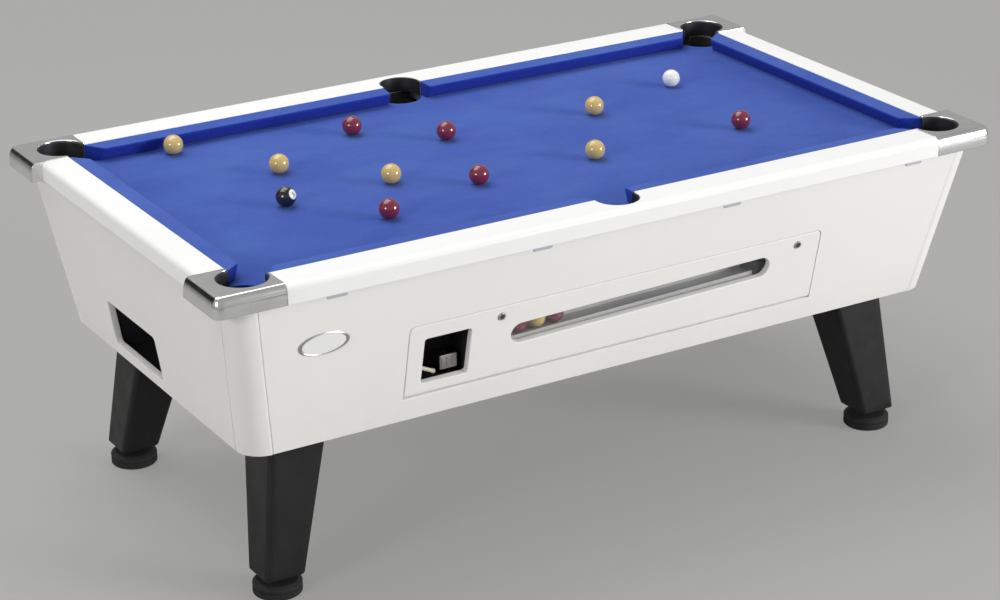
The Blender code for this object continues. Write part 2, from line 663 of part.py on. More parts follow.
def make_legs():
    """Four splayed legs under the base board, each on a foot that screws into its lower end."""
    bore_top = FOOT_HEIGHT + NECK_HEIGHT + STUD_LENGTH + GAP
    for name, sign_x, sign_y in CORNERS:
        mesh = tapered_leg("leg_" + name)
        mesh.transform(Matrix.Diagonal((sign_x, sign_y, 1.0, 1.0)))
        if sign_x * sign_y < 0:
            mesh.flip_normals()
        leg = piece("leg_" + name, mesh, "leg")
        middle = (CABINET_BOTTOM + FOOT_HEIGHT) / 2
        shape = bmesh.new()
        shape.from_mesh(mesh)
        weight = shape.edges.layers.float.new("bevel_weight_edge")
        for edge in shape.edges:
            edge[weight] = float((edge.verts[0].co.z - middle) * (edge.verts[1].co.z - middle) < 0)
        shape.to_mesh(mesh)
        shape.free()
        rounding = leg.modifiers.new("rounded", "BEVEL")
        rounding.limit_method = "WEIGHT"
        rounding.width = LEG_EDGE_ROUND
        rounding.segments = 3
        place = Matrix.Translation((sign_x * LEG_BOTTOM_CENTRE[0], sign_y * LEG_BOTTOM_CENTRE[1], 0))
        bore = cylinder("stud_bore_" + name, STUD_RADIUS + STUD_CLEARANCE, 0.0, bore_top)
        combine(leg, tool("stud_bore_" + name, bore, place), "DIFFERENCE")
        foot = piece("foot_" + name, turned_foot("foot_" + name), "black_plastic", place)
        turning = foot.modifiers.new("turned", "SCREW")
        turning.steps = 20
        turning.render_steps = 20
        turning.use_merge_vertices = True
        turning.merge_threshold = 1e-5
        smooth(foot)


def slot_outline(length, height):
    """A long slot with round ends, tilted about its middle."""
    radius = height / 2
    reach = length / 2 - radius
    points = arc((reach, 0.0), radius, -math.pi / 2, math.pi / 2, 8)
    points += arc((-reach, 0.0), radius, math.pi / 2, 1.5 * math.pi, 8)
    turn = Matrix.Rotation(SLOT_TILT, 2)
    return [tuple(turn @ Vector(point) + Vector(SLOT_CENTRE)) for point in points]


def door_outline(grow):
    """The door's outline on the leaning face: square lower corners, rounded upper ones."""
    half = DOOR_HALF_LENGTH + grow
    low = DOOR_LOW - grow
    high = DOOR_LOW + DOOR_HEIGHT + grow
    radius = DOOR_CORNER + grow
    outline = [(-half, low), (half, low)]
    outline += arc((half - radius, high - radius), radius, 0.0, math.pi / 2, 4)
    outline += arc((-half + radius, high - radius), radius, math.pi / 2, math.pi, 4)
    return outline


def make_door(panels):
    """The drop-down door with its coin and viewing openings, its pins, window and two cam locks."""
    face = pivot("front_face", FRONT_FACE)
    opening = plate("door_opening", [door_outline(DOOR_GAP)], -2 * WALL, WALL)
    combine(panels["panel_front"], tool("door_opening", opening, parent=face), "DIFFERENCE")

    recess = rounded_rectangle(RECESS_LEFT, RECESS_LEFT + RECESS_SIZE, RECESS_LOW, RECESS_LOW + RECESS_SIZE,
                               RECESS_CORNER)
    holes = [recess, slot_outline(SLOT_LENGTH, SLOT_HEIGHT)]
    for _, across, _ in LOCK_PLACES:
        holes.append(arc((across, LOCK_HEIGHT), LOCK_RADIUS + LOCK_CLEARANCE, 0.0, 2 * math.pi, 24)[:-1])
    hinge = pivot("door_hinge", Matrix.Translation((0, *DOOR_AXIS)), face)
    from_hinge = Matrix.Translation((0, -DOOR_AXIS[0], -DOOR_AXIS[1]))
    mesh = plate("door_panel", [door_outline(0.0)] + holes, -DOOR_THICKNESS, 0.0)
    door = piece("door_panel", mesh, "laminate", from_hinge, hinge)
    round_edges(door, DOOR_THICKNESS / 2 - GAP, 3, lambda point: abs(point.y - DOOR_LOW) < GAP)

    sideways = Matrix.Rotation(math.pi / 2, 4, "Y")
    reach = DOOR_HALF_LENGTH + DOOR_PIN_REACH
    pin_hole = cylinder("pin_hole", DOOR_PIN_RADIUS + GAP, -reach - GAP, reach + GAP, 16)
    combine(panels["panel_front"], tool("pin_hole", pin_hole, sideways, hinge), "DIFFERENCE")
    for name, first, last in (("pin_left", -reach, -reach + 3 * DOOR_PIN_REACH),
                              ("pin_right", reach - 3 * DOOR_PIN_REACH, reach)):
        pin = cylinder(name, DOOR_PIN_RADIUS, first, last, 16)
        combine(door, tool(name, pin, sideways, hinge), "UNION")

    half_length = SLOT_LENGTH / 2 + WINDOW_MARGIN
    half_height = SLOT_HEIGHT / 2 + WINDOW_MARGIN
    back = -DOOR_THICKNESS - GAP
    window = plate("viewing_window", [rectangle(-half_length, half_length, -half_height, half_height)],
                   back - WINDOW_THICKNESS, back)
    tilt = Matrix.Translation((*SLOT_CENTRE, 0)) @ Matrix.Rotation(SLOT_TILT, 4, "Z")
    piece("viewing_window", window, "clear", from_hinge @ tilt, hinge)

    for name, across, side in LOCK_PLACES:
        cam_top = -DOOR_THICKNESS - CAM_STAND_OFF
        cam_low = cam_top - CAM_THICKNESS
        barrel = cylinder(name, LOCK_RADIUS, cam_low - GAP, LOCK_PROUD)
        place = from_hinge @ Matrix.Translation((across, LOCK_HEIGHT, 0))
        lock = piece(name, barrel, "steel", place, hinge)
        ends = (0.0, CAM_LENGTH) if side > 0 else (-CAM_LENGTH, 0.0)
        cam = box(name + "_cam", ends, (-CAM_WIDTH / 2, CAM_WIDTH / 2), (cam_low, cam_top))
        combine(lock, tool(name + "_cam", cam, place, hinge), "UNION")
        smooth(lock)


def front_inside(height, clearance):
    """The y of a surface that lies behind the door's inner face by a clearance, at a height."""
    inner = DOOR_THICKNESS / math.cos(FRONT_ANGLE)
    return -CABINET_WIDTH - LEAN_Y * (height - CABINET_BOTTOM) + inner + clearance


def face_height(along_face):
    """World height of a point that lies a distance up the leaning face."""
    return CABINET_BOTTOM + along_face * math.cos(FRONT_ANGLE)


RECESS_DEPTH = KNOB_SETBACK + KNOB_THICKNESS + COIN_TRAVEL + LEAN_Y * KNOB_HEIGHT + TRAVEL_CLEARANCE
RECESS_FLOOR = face_height(RECESS_LOW)
RECESS_CEILING = face_height(RECESS_LOW + RECESS_SIZE)
HOUSING_LEFT = RECESS_LEFT - HOUSING_SIDE_WALL
HOUSING_RIGHT = RECESS_LEFT + RECESS_SIZE + HOUSING_SIDE_WALL
HOUSING_FRONT = front_inside(CABINET_BOTTOM, HOUSING_DOOR_GAP)
HOUSING_BACK = HOUSING_FRONT + RECESS_DEPTH + HOUSING_BACK_WALL
KNOB_RIGHT = RECESS_LEFT + RECESS_SIZE - KNOB_FROM_RIGHT
KNOB_LOW = RECESS_FLOOR + KNOB_FROM_FLOOR
KNOB_FRONT = front_inside(KNOB_LOW, HOUSING_DOOR_GAP + KNOB_SETBACK)
TONGUE_MIDDLE = (KNOB_RIGHT - KNOB_WIDTH / 2, KNOB_LOW + KNOB_HEIGHT / 2)
ARM_FRONT = HOUSING_BACK - LEAN_Y * (TONGUE_MIDDLE[1] - CABINET_BOTTOM) + 2 * ARM_SIZE
ARM_BACK = ARM_FRONT + ARM_SIZE
TRAY_FRONT = front_inside(face_height(SLOT_CENTRE[1] - SLOT_HEIGHT / 2), WINDOW_THICKNESS + TRAY_WINDOW_GAP)
TRAY_BACK = TRAY_FRONT + TRAY_FLOOR
TRAY_SLOPE = math.tan(SLOT_TILT) * math.cos(FRONT_ANGLE)
DECK_LOW_Z = SLATE_BOTTOM - DECK_UNDER_SLATE
DECK_LENGTH = CABINET_LENGTH + LEAN_X * (DECK_LOW_Z - CABINET_BOTTOM) - WALL - DECK_SIDE_GAP / 2
DECK_WIDTH = CABINET_WIDTH + LEAN_Y * (DECK_LOW_Z - CABINET_BOTTOM) - WALL - DECK_SIDE_GAP
TRAY_LEFT = HOUSING_RIGHT + TRAY_FROM_HOUSING
TRAY_RIGHT = DECK_LENGTH - TRAY_FROM_DECK_END
ARM_HEIGHT = DECK_LOW_Z - BOARD - ARM_UNDER_DECK - ARM_SIZE


def tray_height(x):
    """Height of the tray's floor: a ball on it shows in the middle of the slot."""
    return face_height(SLOT_CENTRE[1]) - BALL_RADIUS + TRAY_SLOPE * (x - SLOT_CENTRE[0])


def make_coin_mechanism():
    """The black housing behind the coin recess, with the cash room below it, and the coin slide with its ball gate."""
    top = RECESS_CEILING + HOUSING_TOP_WALL
    back = HOUSING_BACK
    wall = HOUSING_SIDE_WALL
    case = box("coin_housing", (HOUSING_LEFT, HOUSING_RIGHT), (HOUSING_FRONT, back), (BASE_TOP + GAP, top))
    housing = piece("coin_housing", lean_out(case, along_x=False), "black_plastic")
    margin = wall / 4
    hollow = box("recess_hollow", (RECESS_LEFT - margin, RECESS_LEFT + RECESS_SIZE + margin),
                 (HOUSING_FRONT - WALL, HOUSING_FRONT + RECESS_DEPTH),
                 (RECESS_FLOOR - margin, RECESS_CEILING + margin))
    combine(housing, tool("recess_hollow", lean_out(hollow, along_x=False)), "DIFFERENCE")
    shelf = RECESS_FLOOR - margin - wall
    room_back = back - CASH_ROOM_BACK
    room = box("cash_room", (HOUSING_LEFT + wall, HOUSING_RIGHT - wall), (HOUSING_FRONT + wall, room_back),
               (BASE_TOP + wall, shelf))
    combine(housing, tool("cash_room", lean_out(room, along_x=False)), "DIFFERENCE")
    mouth = box("cash_mouth", (HOUSING_LEFT + wall + margin, HOUSING_RIGHT - wall - margin),
                (room_back - margin, back + WALL), (BASE_TOP + wall + CASH_SILL, shelf - GAP))
    combine(housing, tool("cash_mouth", lean_out(mouth, along_x=False)), "DIFFERENCE")

    middle_x, middle_z = TONGUE_MIDDLE
    half_width = TONGUE_WIDTH / 2
    half_thickness = TONGUE_THICKNESS / 2
    slit = box("tongue_slit", (middle_x - half_width - TONGUE_CLEARANCE, middle_x + half_width + TONGUE_CLEARANCE),
               (KNOB_FRONT, ARM_BACK),
               (middle_z - half_thickness - TONGUE_CLEARANCE, middle_z + half_thickness + TONGUE_CLEARANCE))
    combine(housing, tool("tongue_slit", slit), "DIFFERENCE")
    shaft_front = HOUSING_FRONT + RECESS_DEPTH + COIN_SHAFT_DEPTH
    shaft = box("coin_shaft", (middle_x - COIN_SHAFT_WIDTH / 2, middle_x + COIN_SHAFT_WIDTH / 2),
                (shaft_front, shaft_front + COIN_SHAFT_DEPTH), (shelf - margin, middle_z))
    combine(housing, tool("coin_shaft", lean_out(shaft, along_x=False)), "DIFFERENCE")

    knob = box("coin_slide", (KNOB_RIGHT - KNOB_WIDTH, KNOB_RIGHT), (KNOB_FRONT, KNOB_FRONT + KNOB_THICKNESS),
               (KNOB_LOW, KNOB_LOW + KNOB_HEIGHT))
    origin = Vector((middle_x, KNOB_FRONT, middle_z))
    knob.transform(Matrix.Translation(-origin))
    slide = piece("coin_slide", knob, "steel", Matrix.Translation(origin))
    gate_x = TRAY_LEFT - 2 * GATE_THICKNESS
    gate_low = tray_height(gate_x) + GATE_LIFT
    arm_top = ARM_HEIGHT + ARM_SIZE
    bars = (
        ("tongue", (middle_x - half_width, middle_x + half_width), (KNOB_FRONT + KNOB_THICKNESS / 2, ARM_BACK),
         (middle_z - half_thickness, middle_z + half_thickness)),
        ("riser", (middle_x - ARM_SIZE / 2, middle_x + ARM_SIZE / 2), (ARM_FRONT, ARM_BACK),
         (middle_z, arm_top)),
        ("cross_arm", (middle_x, gate_x), (ARM_FRONT, ARM_BACK), (ARM_HEIGHT, arm_top)),
        ("gate_arm", (gate_x - ARM_SIZE, gate_x), (TRAY_FRONT + TRAY_LIP, ARM_BACK - ARM_SIZE / 2),
         (ARM_HEIGHT, arm_top)),
        ("gate", (gate_x - GATE_THICKNESS, gate_x), (TRAY_FRONT + TRAY_LIP, TRAY_BACK - THIN_BOARD),
         (gate_low, arm_top - ARM_SIZE / 2)),
    )
    for name, x_range, y_range, z_range in bars:
        combine(slide, tool("slide_" + name, box(name, x_range, y_range, z_range)), "UNION")


def level(height, drop=0.0):
    """A surface lowered by a distance; the height is a number or a function of x and y."""
    return lambda x, y: (height(x, y) if callable(height) else height) - drop


def deck_height(x, y):
    """Upper face of the deck: it falls along the table to the right, and to the front."""
    return DECK_LOW_Z + DECK_SLOPE_ALONG * (DECK_LENGTH - x) + DECK_SLOPE_ACROSS * (y + DECK_WIDTH)


def tray_floor(x, y):
    """Upper face of the tray: a ball on it shows in the middle of the slot."""
    return tray_height(x)


def run_height(x, y):
    """Upper face of the return run: it falls to the back and to the left from the end of the tray."""
    back = y - (TRAY_FRONT + TRAY_BACK) / 2
    return tray_height(TRAY_LEFT) - RUN_STEP + RUN_SLOPE_ALONG * (x - TRAY_LEFT) - RUN_SLOPE_ACROSS * back


def join_boards(obj, boards):
    """Join boards on to a piece; each has a name, an outline and the surfaces of its two faces."""
    for name, outline, low, high in boards:
        combine(obj, tool(name, between(name, outline, low, high)), "UNION")


def make_ball_deck():
    """The plank below the slate: a ball from any pocket rolls to its cut corner and drops into the tray."""
    front = -DECK_WIDTH
    outline = [(-DECK_LENGTH, front), (DECK_LENGTH - DECK_CUT_LENGTH, front), (DECK_LENGTH, TRAY_BACK),
               (DECK_LENGTH, DECK_WIDTH), (-DECK_LENGTH, DECK_WIDTH)]
    piece("ball_deck", between("ball_deck", outline, level(deck_height, BOARD), deck_height), "plywood")


UNDER_DECK = level(deck_height, BOARD + GAP)
ON_BASE = level(BASE_TOP + GAP)


def make_ball_tray():
    """The trough behind the window, where potted balls wait, and the board that carries it and the deck."""
    thin = THIN_BOARD
    tuck = THIN_BOARD / 6
    floor = rectangle(TRAY_LEFT, TRAY_RIGHT, TRAY_FRONT, TRAY_BACK)
    tray = piece("ball_tray", between("ball_tray", floor, level(tray_floor, thin), tray_floor), "plywood")
    in_tray = level(tray_floor, thin / 2)
    join_boards(tray, (
        ("tray_lip", rectangle(TRAY_LEFT + tuck, TRAY_RIGHT - tuck, TRAY_FRONT - tuck, TRAY_FRONT + thin / 2), in_tray,
         level(tray_floor, -TRAY_LIP)),
        ("tray_back", rectangle(TRAY_LEFT + tuck, TRAY_RIGHT - tuck, TRAY_BACK - thin, TRAY_BACK + tuck), in_tray,
         level(tray_floor, -TRAY_WALL)),
        ("tray_end", rectangle(TRAY_RIGHT - thin, TRAY_RIGHT + tuck, TRAY_FRONT - 2 * tuck, TRAY_BACK - thin / 2),
         level(tray_floor, thin + tuck), level(tray_floor, -2 * BALL_RADIUS)),
        ("deck_leg", rectangle(DECK_LEG_X, DECK_LEG_X + BOARD, TRAY_BACK - thin / 2, DECK_LEG_END), ON_BASE,
         UNDER_DECK),
    ))


def make_ball_run(panels):
    """The black run that leads paid-for balls from the tray to the box behind the opening in the left end."""
    thin = THIN_BOARD
    tuck = THIN_BOARD / 6
    far = RETURN_NEAR + RETURN_WIDTH
    high = RETURN_LOW + RETURN_HEIGHT
    outline = rounded_rectangle(RETURN_NEAR, far, RETURN_LOW, high, RETURN_CORNER)
    along_x = Matrix(((0, 0, 1, 0), (1, 0, 0, 0), (0, 1, 0, 0), (0, 0, 0, 1)))
    opening = plate("return_opening", [outline], -HALF_LENGTH - WALL, -CABINET_LENGTH + 2 * WALL)
    combine(panels["panel_left_end"], tool("return_opening", opening, along_x), "DIFFERENCE")

    run_right = TRAY_LEFT - GAP
    run_left = -CABINET_LENGTH + WALL + RETURN_BOX_DEPTH - 2 * BOARD
    run_front = ARM_BACK + COIN_TRAVEL + BOARD
    run_far = far + RETURN_BOX_MARGIN - RETURN_BOX_WALL / 2
    apron_left = HOUSING_RIGHT + 4 * GAP
    plan = [(apron_left, TRAY_FRONT), (run_right, TRAY_FRONT), (run_right, run_far), (run_left, run_far),
            (run_left, run_front), (apron_left, run_front)]
    run = piece("ball_run", between("ball_run", plan, level(run_height, thin), run_height), "black_plastic")
    in_run = level(run_height, thin / 2)
    run_fence = level(run_height, -RUN_FENCE)
    join_boards(run, (
        ("run_apron_fence", rectangle(apron_left + tuck, apron_left + thin, HOUSING_BACK, run_front + thin), in_run,
         run_fence),
        ("run_back_fence", rectangle(run_left + thin, run_right - tuck, far - thin, far + tuck), in_run, UNDER_DECK),
        ("run_left_fence", rectangle(run_left - tuck, run_left + thin - tuck, run_front + tuck, RETURN_NEAR), in_run,
         run_fence),
        ("run_right_fence", rectangle(run_right - thin, run_right - 2 * tuck, TRAY_BACK + thin, far - tuck), in_run,
         UNDER_DECK),
        ("run_leg", rectangle(RUN_LEG_X, RUN_LEG_X + BOARD, -RUN_LEG_HALF, RUN_LEG_HALF), ON_BASE, in_run),
    ))
    outer = rounded_rectangle(RETURN_NEAR - RETURN_BOX_MARGIN, far + RETURN_BOX_MARGIN, BASE_TOP + GAP,
                              high + RETURN_BOX_MARGIN, RETURN_CORNER)
    inner = rounded_rectangle(RETURN_NEAR - RETURN_BOX_MARGIN + RETURN_BOX_WALL,
                              far + RETURN_BOX_MARGIN - RETURN_BOX_WALL, BASE_TOP + GAP + RETURN_BOX_WALL,
                              high + RETURN_BOX_MARGIN - RETURN_BOX_WALL, RETURN_CORNER)
    mouth = -CABINET_LENGTH + WALL + GAP
    mesh = plate("return_box", [outer, inner], mouth, mouth + RETURN_BOX_DEPTH)
    mesh.transform(along_x)
    for vert in mesh.vertices:
        vert.co.x -= LEAN_X * (vert.co.z - CABINET_BOTTOM)
    combine(run, tool("return_box", mesh), "UNION")


def make_balls():
    """The twelve balls that lie on the cloth."""
    for name, shares, finish, radius in BALLS:
        place = (shares[0] * PLAY_LENGTH, shares[1] * PLAY_WIDTH)
        shape = bmesh.new()
        bmesh.ops.create_uvsphere(shape, u_segments=16, v_segments=10, radius=radius)
        mesh = bpy.data.meshes.new(name)
        shape.to_mesh(mesh)
        shape.free()
        smooth(piece(name, mesh, finish, Matrix.Translation((*place, CLOTH_TOP + GAP + radius))))


make_bed()
make_rails()
make_caps()
make_liners()
make_cushions()
PANELS = make_cabinet()
make_legs()
make_door(PANELS)
make_coin_mechanism()
make_ball_deck()
make_ball_tray()
make_ball_run(PANELS)
make_balls()
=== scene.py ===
"""Coin-operated pool table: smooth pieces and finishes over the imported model, and the stage it is shown on.

Metres, +Z up. The floor is z = 0 and the origin lies below the middle of the bed. The long side with the coin
recess faces -Y, and the end with the ball-return opening faces -X.
"""
import math

import bmesh
import bpy
import numpy as np
from bpy.props import FloatProperty, FloatVectorProperty, PointerProperty
from mathutils import Matrix, Vector
from mathutils.geometry import delaunay_2d_cdt


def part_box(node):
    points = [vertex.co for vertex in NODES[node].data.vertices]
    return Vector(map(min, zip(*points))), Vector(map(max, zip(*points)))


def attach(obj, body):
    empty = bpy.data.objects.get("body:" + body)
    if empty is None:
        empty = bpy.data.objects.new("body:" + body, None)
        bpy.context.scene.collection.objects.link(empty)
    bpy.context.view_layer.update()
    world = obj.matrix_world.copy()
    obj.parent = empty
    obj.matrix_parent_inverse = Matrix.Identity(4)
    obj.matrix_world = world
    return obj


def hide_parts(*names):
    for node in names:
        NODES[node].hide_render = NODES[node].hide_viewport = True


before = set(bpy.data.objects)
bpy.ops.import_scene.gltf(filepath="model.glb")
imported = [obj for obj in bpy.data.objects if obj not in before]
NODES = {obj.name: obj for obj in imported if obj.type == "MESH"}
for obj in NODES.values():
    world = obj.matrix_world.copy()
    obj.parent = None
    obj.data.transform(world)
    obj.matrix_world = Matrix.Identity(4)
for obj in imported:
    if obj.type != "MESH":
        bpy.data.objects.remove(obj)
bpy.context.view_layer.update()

bl_info = {
    "name": "Coin-operated pool table",
    "version": (1, 0, 0),
    "blender": (4, 5, 0),
    "location": "View3D > Sidebar > Pool table",
    "description": "Dresses a packed pool table with smooth pieces and finishes, and sets its stage",
    "category": "Object",
}

GAP = 0.0003  # between neighbouring pieces
# Places, with the signs of x and y that carry a piece there from the back right.
CORNERS = (("front_left", -1, -1), ("front_right", 1, -1), ("back_left", -1, 1), ("back_right", 1, 1))
SIDES = (("front", 1, -1), ("back", 1, 1))
ENDS = (("left_end", -1, 1), ("right_end", 1, 1))
LONG_SIDES = ("front", "back")
# Viewing slot: its middle along the door, its share of the door's height, and its tilt.
SLOT_MIDDLE, SLOT_SHARE, SLOT_TILT = 0.066, 0.6005, math.radians(1.45)
# Ball-return opening in the left end: its two ends along the panel, and its heights.
RETURN_ENDS, RETURN_HEIGHTS = (-0.212, 0.068), (0.436, 0.554)
# Boxes of the nodes that the sizes follow.
END_RAIL, LONG_RAIL, CAP, SLATE, FRONT = (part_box(name) for name in (
    "rail_right_end", "rail_back", "corner_cap_back_right", "slate_bed", "panel_front"))


def length(name, default, description):
    """A size in metres."""
    return FloatProperty(name=name, description=description, default=default, subtype="DISTANCE",
                         unit="LENGTH", precision=4)


def colour(name, default, description):
    """A finish's colour, linear red, green and blue."""
    return FloatVectorProperty(name=name, description=description, default=default, size=3, subtype="COLOR",
                               min=0.0, max=1.0)


class PoolTableSizes(bpy.types.PropertyGroup):
    """Sizes of the table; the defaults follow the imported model."""
    half_length: length("Half length", END_RAIL[1][0], "From the middle to the outer edge of an end")
    half_width: length("Half width", LONG_RAIL[1][1], "From the middle to the outer edge of a long side")
    rail_top: length("Rail top", LONG_RAIL[1][2], "Height of the rails' upper face")
    rail_low: length("Rail underside", LONG_RAIL[0][2], "Height of the rails' lower face")
    rail_seat: length("Rail seat", 0.8132, "Height of the face by which a rail sits on the slate")
    rail_round: length("Rail rounding", 0.014, "Radius of the rails' outer upper edge")
    inner_length: length("Inner half length", END_RAIL[0][0], "To the inner face of an end rail")
    inner_width: length("Inner half width", 0.520, "To the inner face of a long rail")
    cap_seam_x: length("Cap seam along", CAP[0][0], "Where a cap meets a long rail")
    cap_seam_y: length("Cap seam across", CAP[0][1], "Where a cap meets an end rail")
    cap_top: length("Cap top", CAP[1][2], "Height of the caps' upper face")
    cap_end: length("Cap end", CAP[1][0], "From the middle to the caps' end face")
    cap_corner: length("Cap corner", 0.022, "Radius of the caps' corner in plan")
    cap_round: length("Cap rounding", 0.035, "How far down the caps' outer face its upper rounding reaches")
    slate_length: length("Slate half length", SLATE[1][0], "Half the length of the slate")
    slate_width: length("Slate half width", SLATE[1][1], "Half the width of the slate")
    corner_pocket_x: length("Corner pocket along", 0.983, "Centre of a corner pocket")
    corner_pocket_y: length("Corner pocket across", 0.518, "Centre of a corner pocket")
    corner_pocket_radius: length("Corner pocket radius", 0.0605, "Radius of the cut in a corner cap")
    side_pocket_y: length("Middle pocket across", 0.530, "Centre of a middle pocket")
    side_pocket_radius: length("Middle pocket radius", 0.056, "Radius of the cut in a long rail")
    liner_thickness: length("Liner thickness", 0.004, "Wall of a pocket liner")
    cloth_top: length("Cloth top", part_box("bed_cloth")[1][2], "Height of the playing surface")
    cloth_thickness: length("Cloth thickness", 0.0008, "Thickness of the bed cloth")
    cushion_width: length("Cushion width", 0.046, "From the rail to the nose")
    corner_jaw: length("Corner jaw", 0.038, "How much shorter the nose is than the back at a corner pocket")
    side_jaw: length("Middle jaw", 0.004, "How much shorter the nose is than the back at a middle pocket")
    cabinet_low: length("Cabinet underside", FRONT[0][2], "Height of the cabinet's lower edge")
    cabinet_high: length("Cabinet top", FRONT[1][2], "Height of the cabinet's upper edge")
    cabinet_length: length("Cabinet half length", 0.989, "At the lower edge")
    cabinet_width: length("Cabinet half width", 0.513, "At the lower edge")
    end_lean: length("End lean", 0.064, "How far an end leans out over its height")
    side_lean: length("Side lean", 0.088, "How far a long side leans out over its height")
    wall: length("Wall", 0.018, "Thickness of the panels")
    post_radius: length("Post radius", 0.065, "Radius of the rounded corner posts")
    leg_top_size: length("Leg top", 0.152, "Side of a leg's square top")
    leg_low_size: length("Leg bottom", 0.105, "Side of a leg's square lower end")
    leg_round: length("Leg rounding", 0.014, "Radius of a leg's long edges")
    ball_radius: length("Ball radius", 0.0254, "Radius of a coloured ball")
    door_half: length("Door half length", 0.589, "Half the length of the drop-down door")
    door_low: length("Door lower edge", 0.0635, "Up the leaning face from the cabinet's lower edge")
    door_height: length("Door height", 0.1985, "Up the leaning face")
    door_thickness: length("Door thickness", 0.0172, "Thickness of the door")
    edge_round: length("Edge rounding", 0.0020, "Radius of the laminate's edges")


class PoolTableColours(bpy.types.PropertyGroup):
    """Colours of the finishes."""
    laminate: colour("Laminate", (0.85, 0.84, 0.82), "White cabinet")
    rail: colour("Rail", (0.87, 0.87, 0.86), "White rails")
    metal: colour("Cap metal", (0.82, 0.82, 0.83), "Corner caps")
    cloth: colour("Cloth", (0.016, 0.042, 0.400), "Bed and cushions")
    black: colour("Black plastic", (0.012, 0.012, 0.013), "Liners, feet and housing")
    leg: colour("Leg", (0.007, 0.0068, 0.0072), "Legs")
    board: colour("Board", (0.52, 0.52, 0.50), "Painted boards inside")
    yellow: colour("Yellow ball", (0.57, 0.42, 0.16), "Five balls")
    red: colour("Red ball", (0.19, 0.020, 0.044), "Five balls")
    white: colour("White ball", (0.80, 0.80, 0.79), "Cue ball")
    steel: colour("Steel", (0.53, 0.54, 0.55), "Locks and coin slide")


class PoolTableStage(bpy.types.PropertyGroup):
    """Camera, light and floor."""
    camera_place: FloatVectorProperty(name="Camera place", description="Where the camera stands", size=3,
                                      default=(-3.2944, -5.4941, 3.041), subtype="TRANSLATION", unit="LENGTH")
    camera_turn: FloatVectorProperty(name="Camera turn", description="Azimuth, elevation and roll", size=3,
                                     default=tuple(math.radians(a) for a in (-30.873, 22.364, -0.604)),
                                     subtype="EULER", unit="ROTATION")
    lens: FloatProperty(name="Lens", description="Focal length", default=95.76, unit="CAMERA")
    ground: colour("Ground", (0.412, 0.409, 0.398), "Floor and background")


def sizes():
    """The table's sizes in this scene."""
    return bpy.context.scene.pool_table_sizes


def colours():
    """The finishes' colours in this scene."""
    return bpy.context.scene.pool_table_colours


# Shapes as arrays

def unit(vectors):
    """Vectors divided by their lengths."""
    return vectors / np.linalg.norm(vectors, axis=-1, keepdims=True)


def left_of(steps):
    """Steps in plan turned a quarter to the left."""
    return np.stack([-steps[:, 1], steps[:, 0]], axis=1)


def circle(steps):
    """Cosine and sine of angles spaced evenly round the circle."""
    turn = np.linspace(0, 2 * math.pi, steps, endpoint=False)
    return np.stack([np.cos(turn), np.sin(turn)], axis=1)


def arc(centre, radius, first, last, steps):
    """Circular arc: the centre plus the radius times cosine and sine of evenly spaced angles, in degrees."""
    angle = np.radians(np.linspace(first, last, steps + 1))
    return np.stack([centre[0] + radius * np.cos(angle), centre[1] + radius * np.sin(angle)], axis=1)


def quarter(steps):
    """Quarter circle of radius 1 that rounds an edge: 1 - sine and 1 - cosine of evenly spaced angles."""
    turn = np.linspace(0, math.pi / 2, steps + 1)
    return 1 - np.sin(turn), 1 - np.cos(turn)


def rounded(corners, radii, steps=5, support=0.4):
    """Closed outline with round corners.

    At each corner an arc tangent to both sides takes the place of the point. Its directions from the centre
    turn evenly from one side's normal to the other's, and one more point on each side keeps the flats flat.
    """
    corners = np.asarray(corners, float)
    radii = np.broadcast_to(np.asarray(radii, float), len(corners))[:, None]
    to_last = unit(np.roll(corners, 1, axis=0) - corners)
    to_next = unit(np.roll(corners, -1, axis=0) - corners)
    opening = np.arccos(np.clip((to_last * to_next).sum(1, keepdims=True), -1, 1))
    tangent = radii / np.tan(opening / 2)
    centre = corners + unit(to_last + to_next) * radii / np.sin(opening / 2)
    start = (corners + to_last * tangent - centre)[:, None, :]
    end = (corners + to_next * tangent - centre)[:, None, :]
    turn = (math.pi - opening)[:, None, :]
    share = np.linspace(0, 1, steps + 1)[None, :, None]
    bend = np.sin((1 - share) * turn) * start + np.sin(share * turn) * end
    bend = bend / np.sin(turn) + centre[:, None, :]
    before, after = ((corners + way * (tangent + support * radii))[:, None, :] for way in (to_last, to_next))
    return np.concatenate([before, bend, after], axis=1).reshape(-1, 2)


def box_outline(left, right, low, high, radius, steps=8):
    """Rectangle with round corners."""
    return rounded([(left, low), (right, low), (right, high), (left, high)], radius, steps)


def along(path):
    """Distance of each point of a path from its start."""
    return np.concatenate([[0.0], np.cumsum(np.linalg.norm(np.diff(path, axis=0), axis=1))])


def between(places, run, values):
    """Rows of values at given distances, each column interpolated on its own."""
    return np.stack([np.interp(places, run, column) for column in values.T], axis=1)


def eased(path, spread, spacing=0.00025):
    """The path in small even steps, each point the average of its neighbours within a spread, twice over."""
    run = along(path)
    fine = between(np.linspace(0, run[-1], int(run[-1] / spacing) + 2), run, path)
    count = max(1, int(spread / spacing)) | 1
    kernel = np.ones(count) / count
    for _ in range(2):
        lead = fine[:1] - (fine[1:count // 2 + 1][::-1] - fine[:1])
        tail = fine[-1:] - (fine[-count // 2:-1][::-1] - fine[-1:])
        padded = np.concatenate([lead, fine, tail])
        fine = np.stack([np.convolve(column, kernel, "same")[len(lead):len(lead) + len(fine)]
                         for column in padded.T], axis=1)
    return fine


def normals(path):
    """Unit normals to the left of a path's direction, from the differences of neighbouring points."""
    return left_of(unit(np.gradient(path, axis=0)))


def stations(path, share):
    """Points at given shares of a path's length, and the unit normals there."""
    run = along(path)
    places = share * run[-1]
    return between(places, run, path), unit(between(places, run, normals(path)))


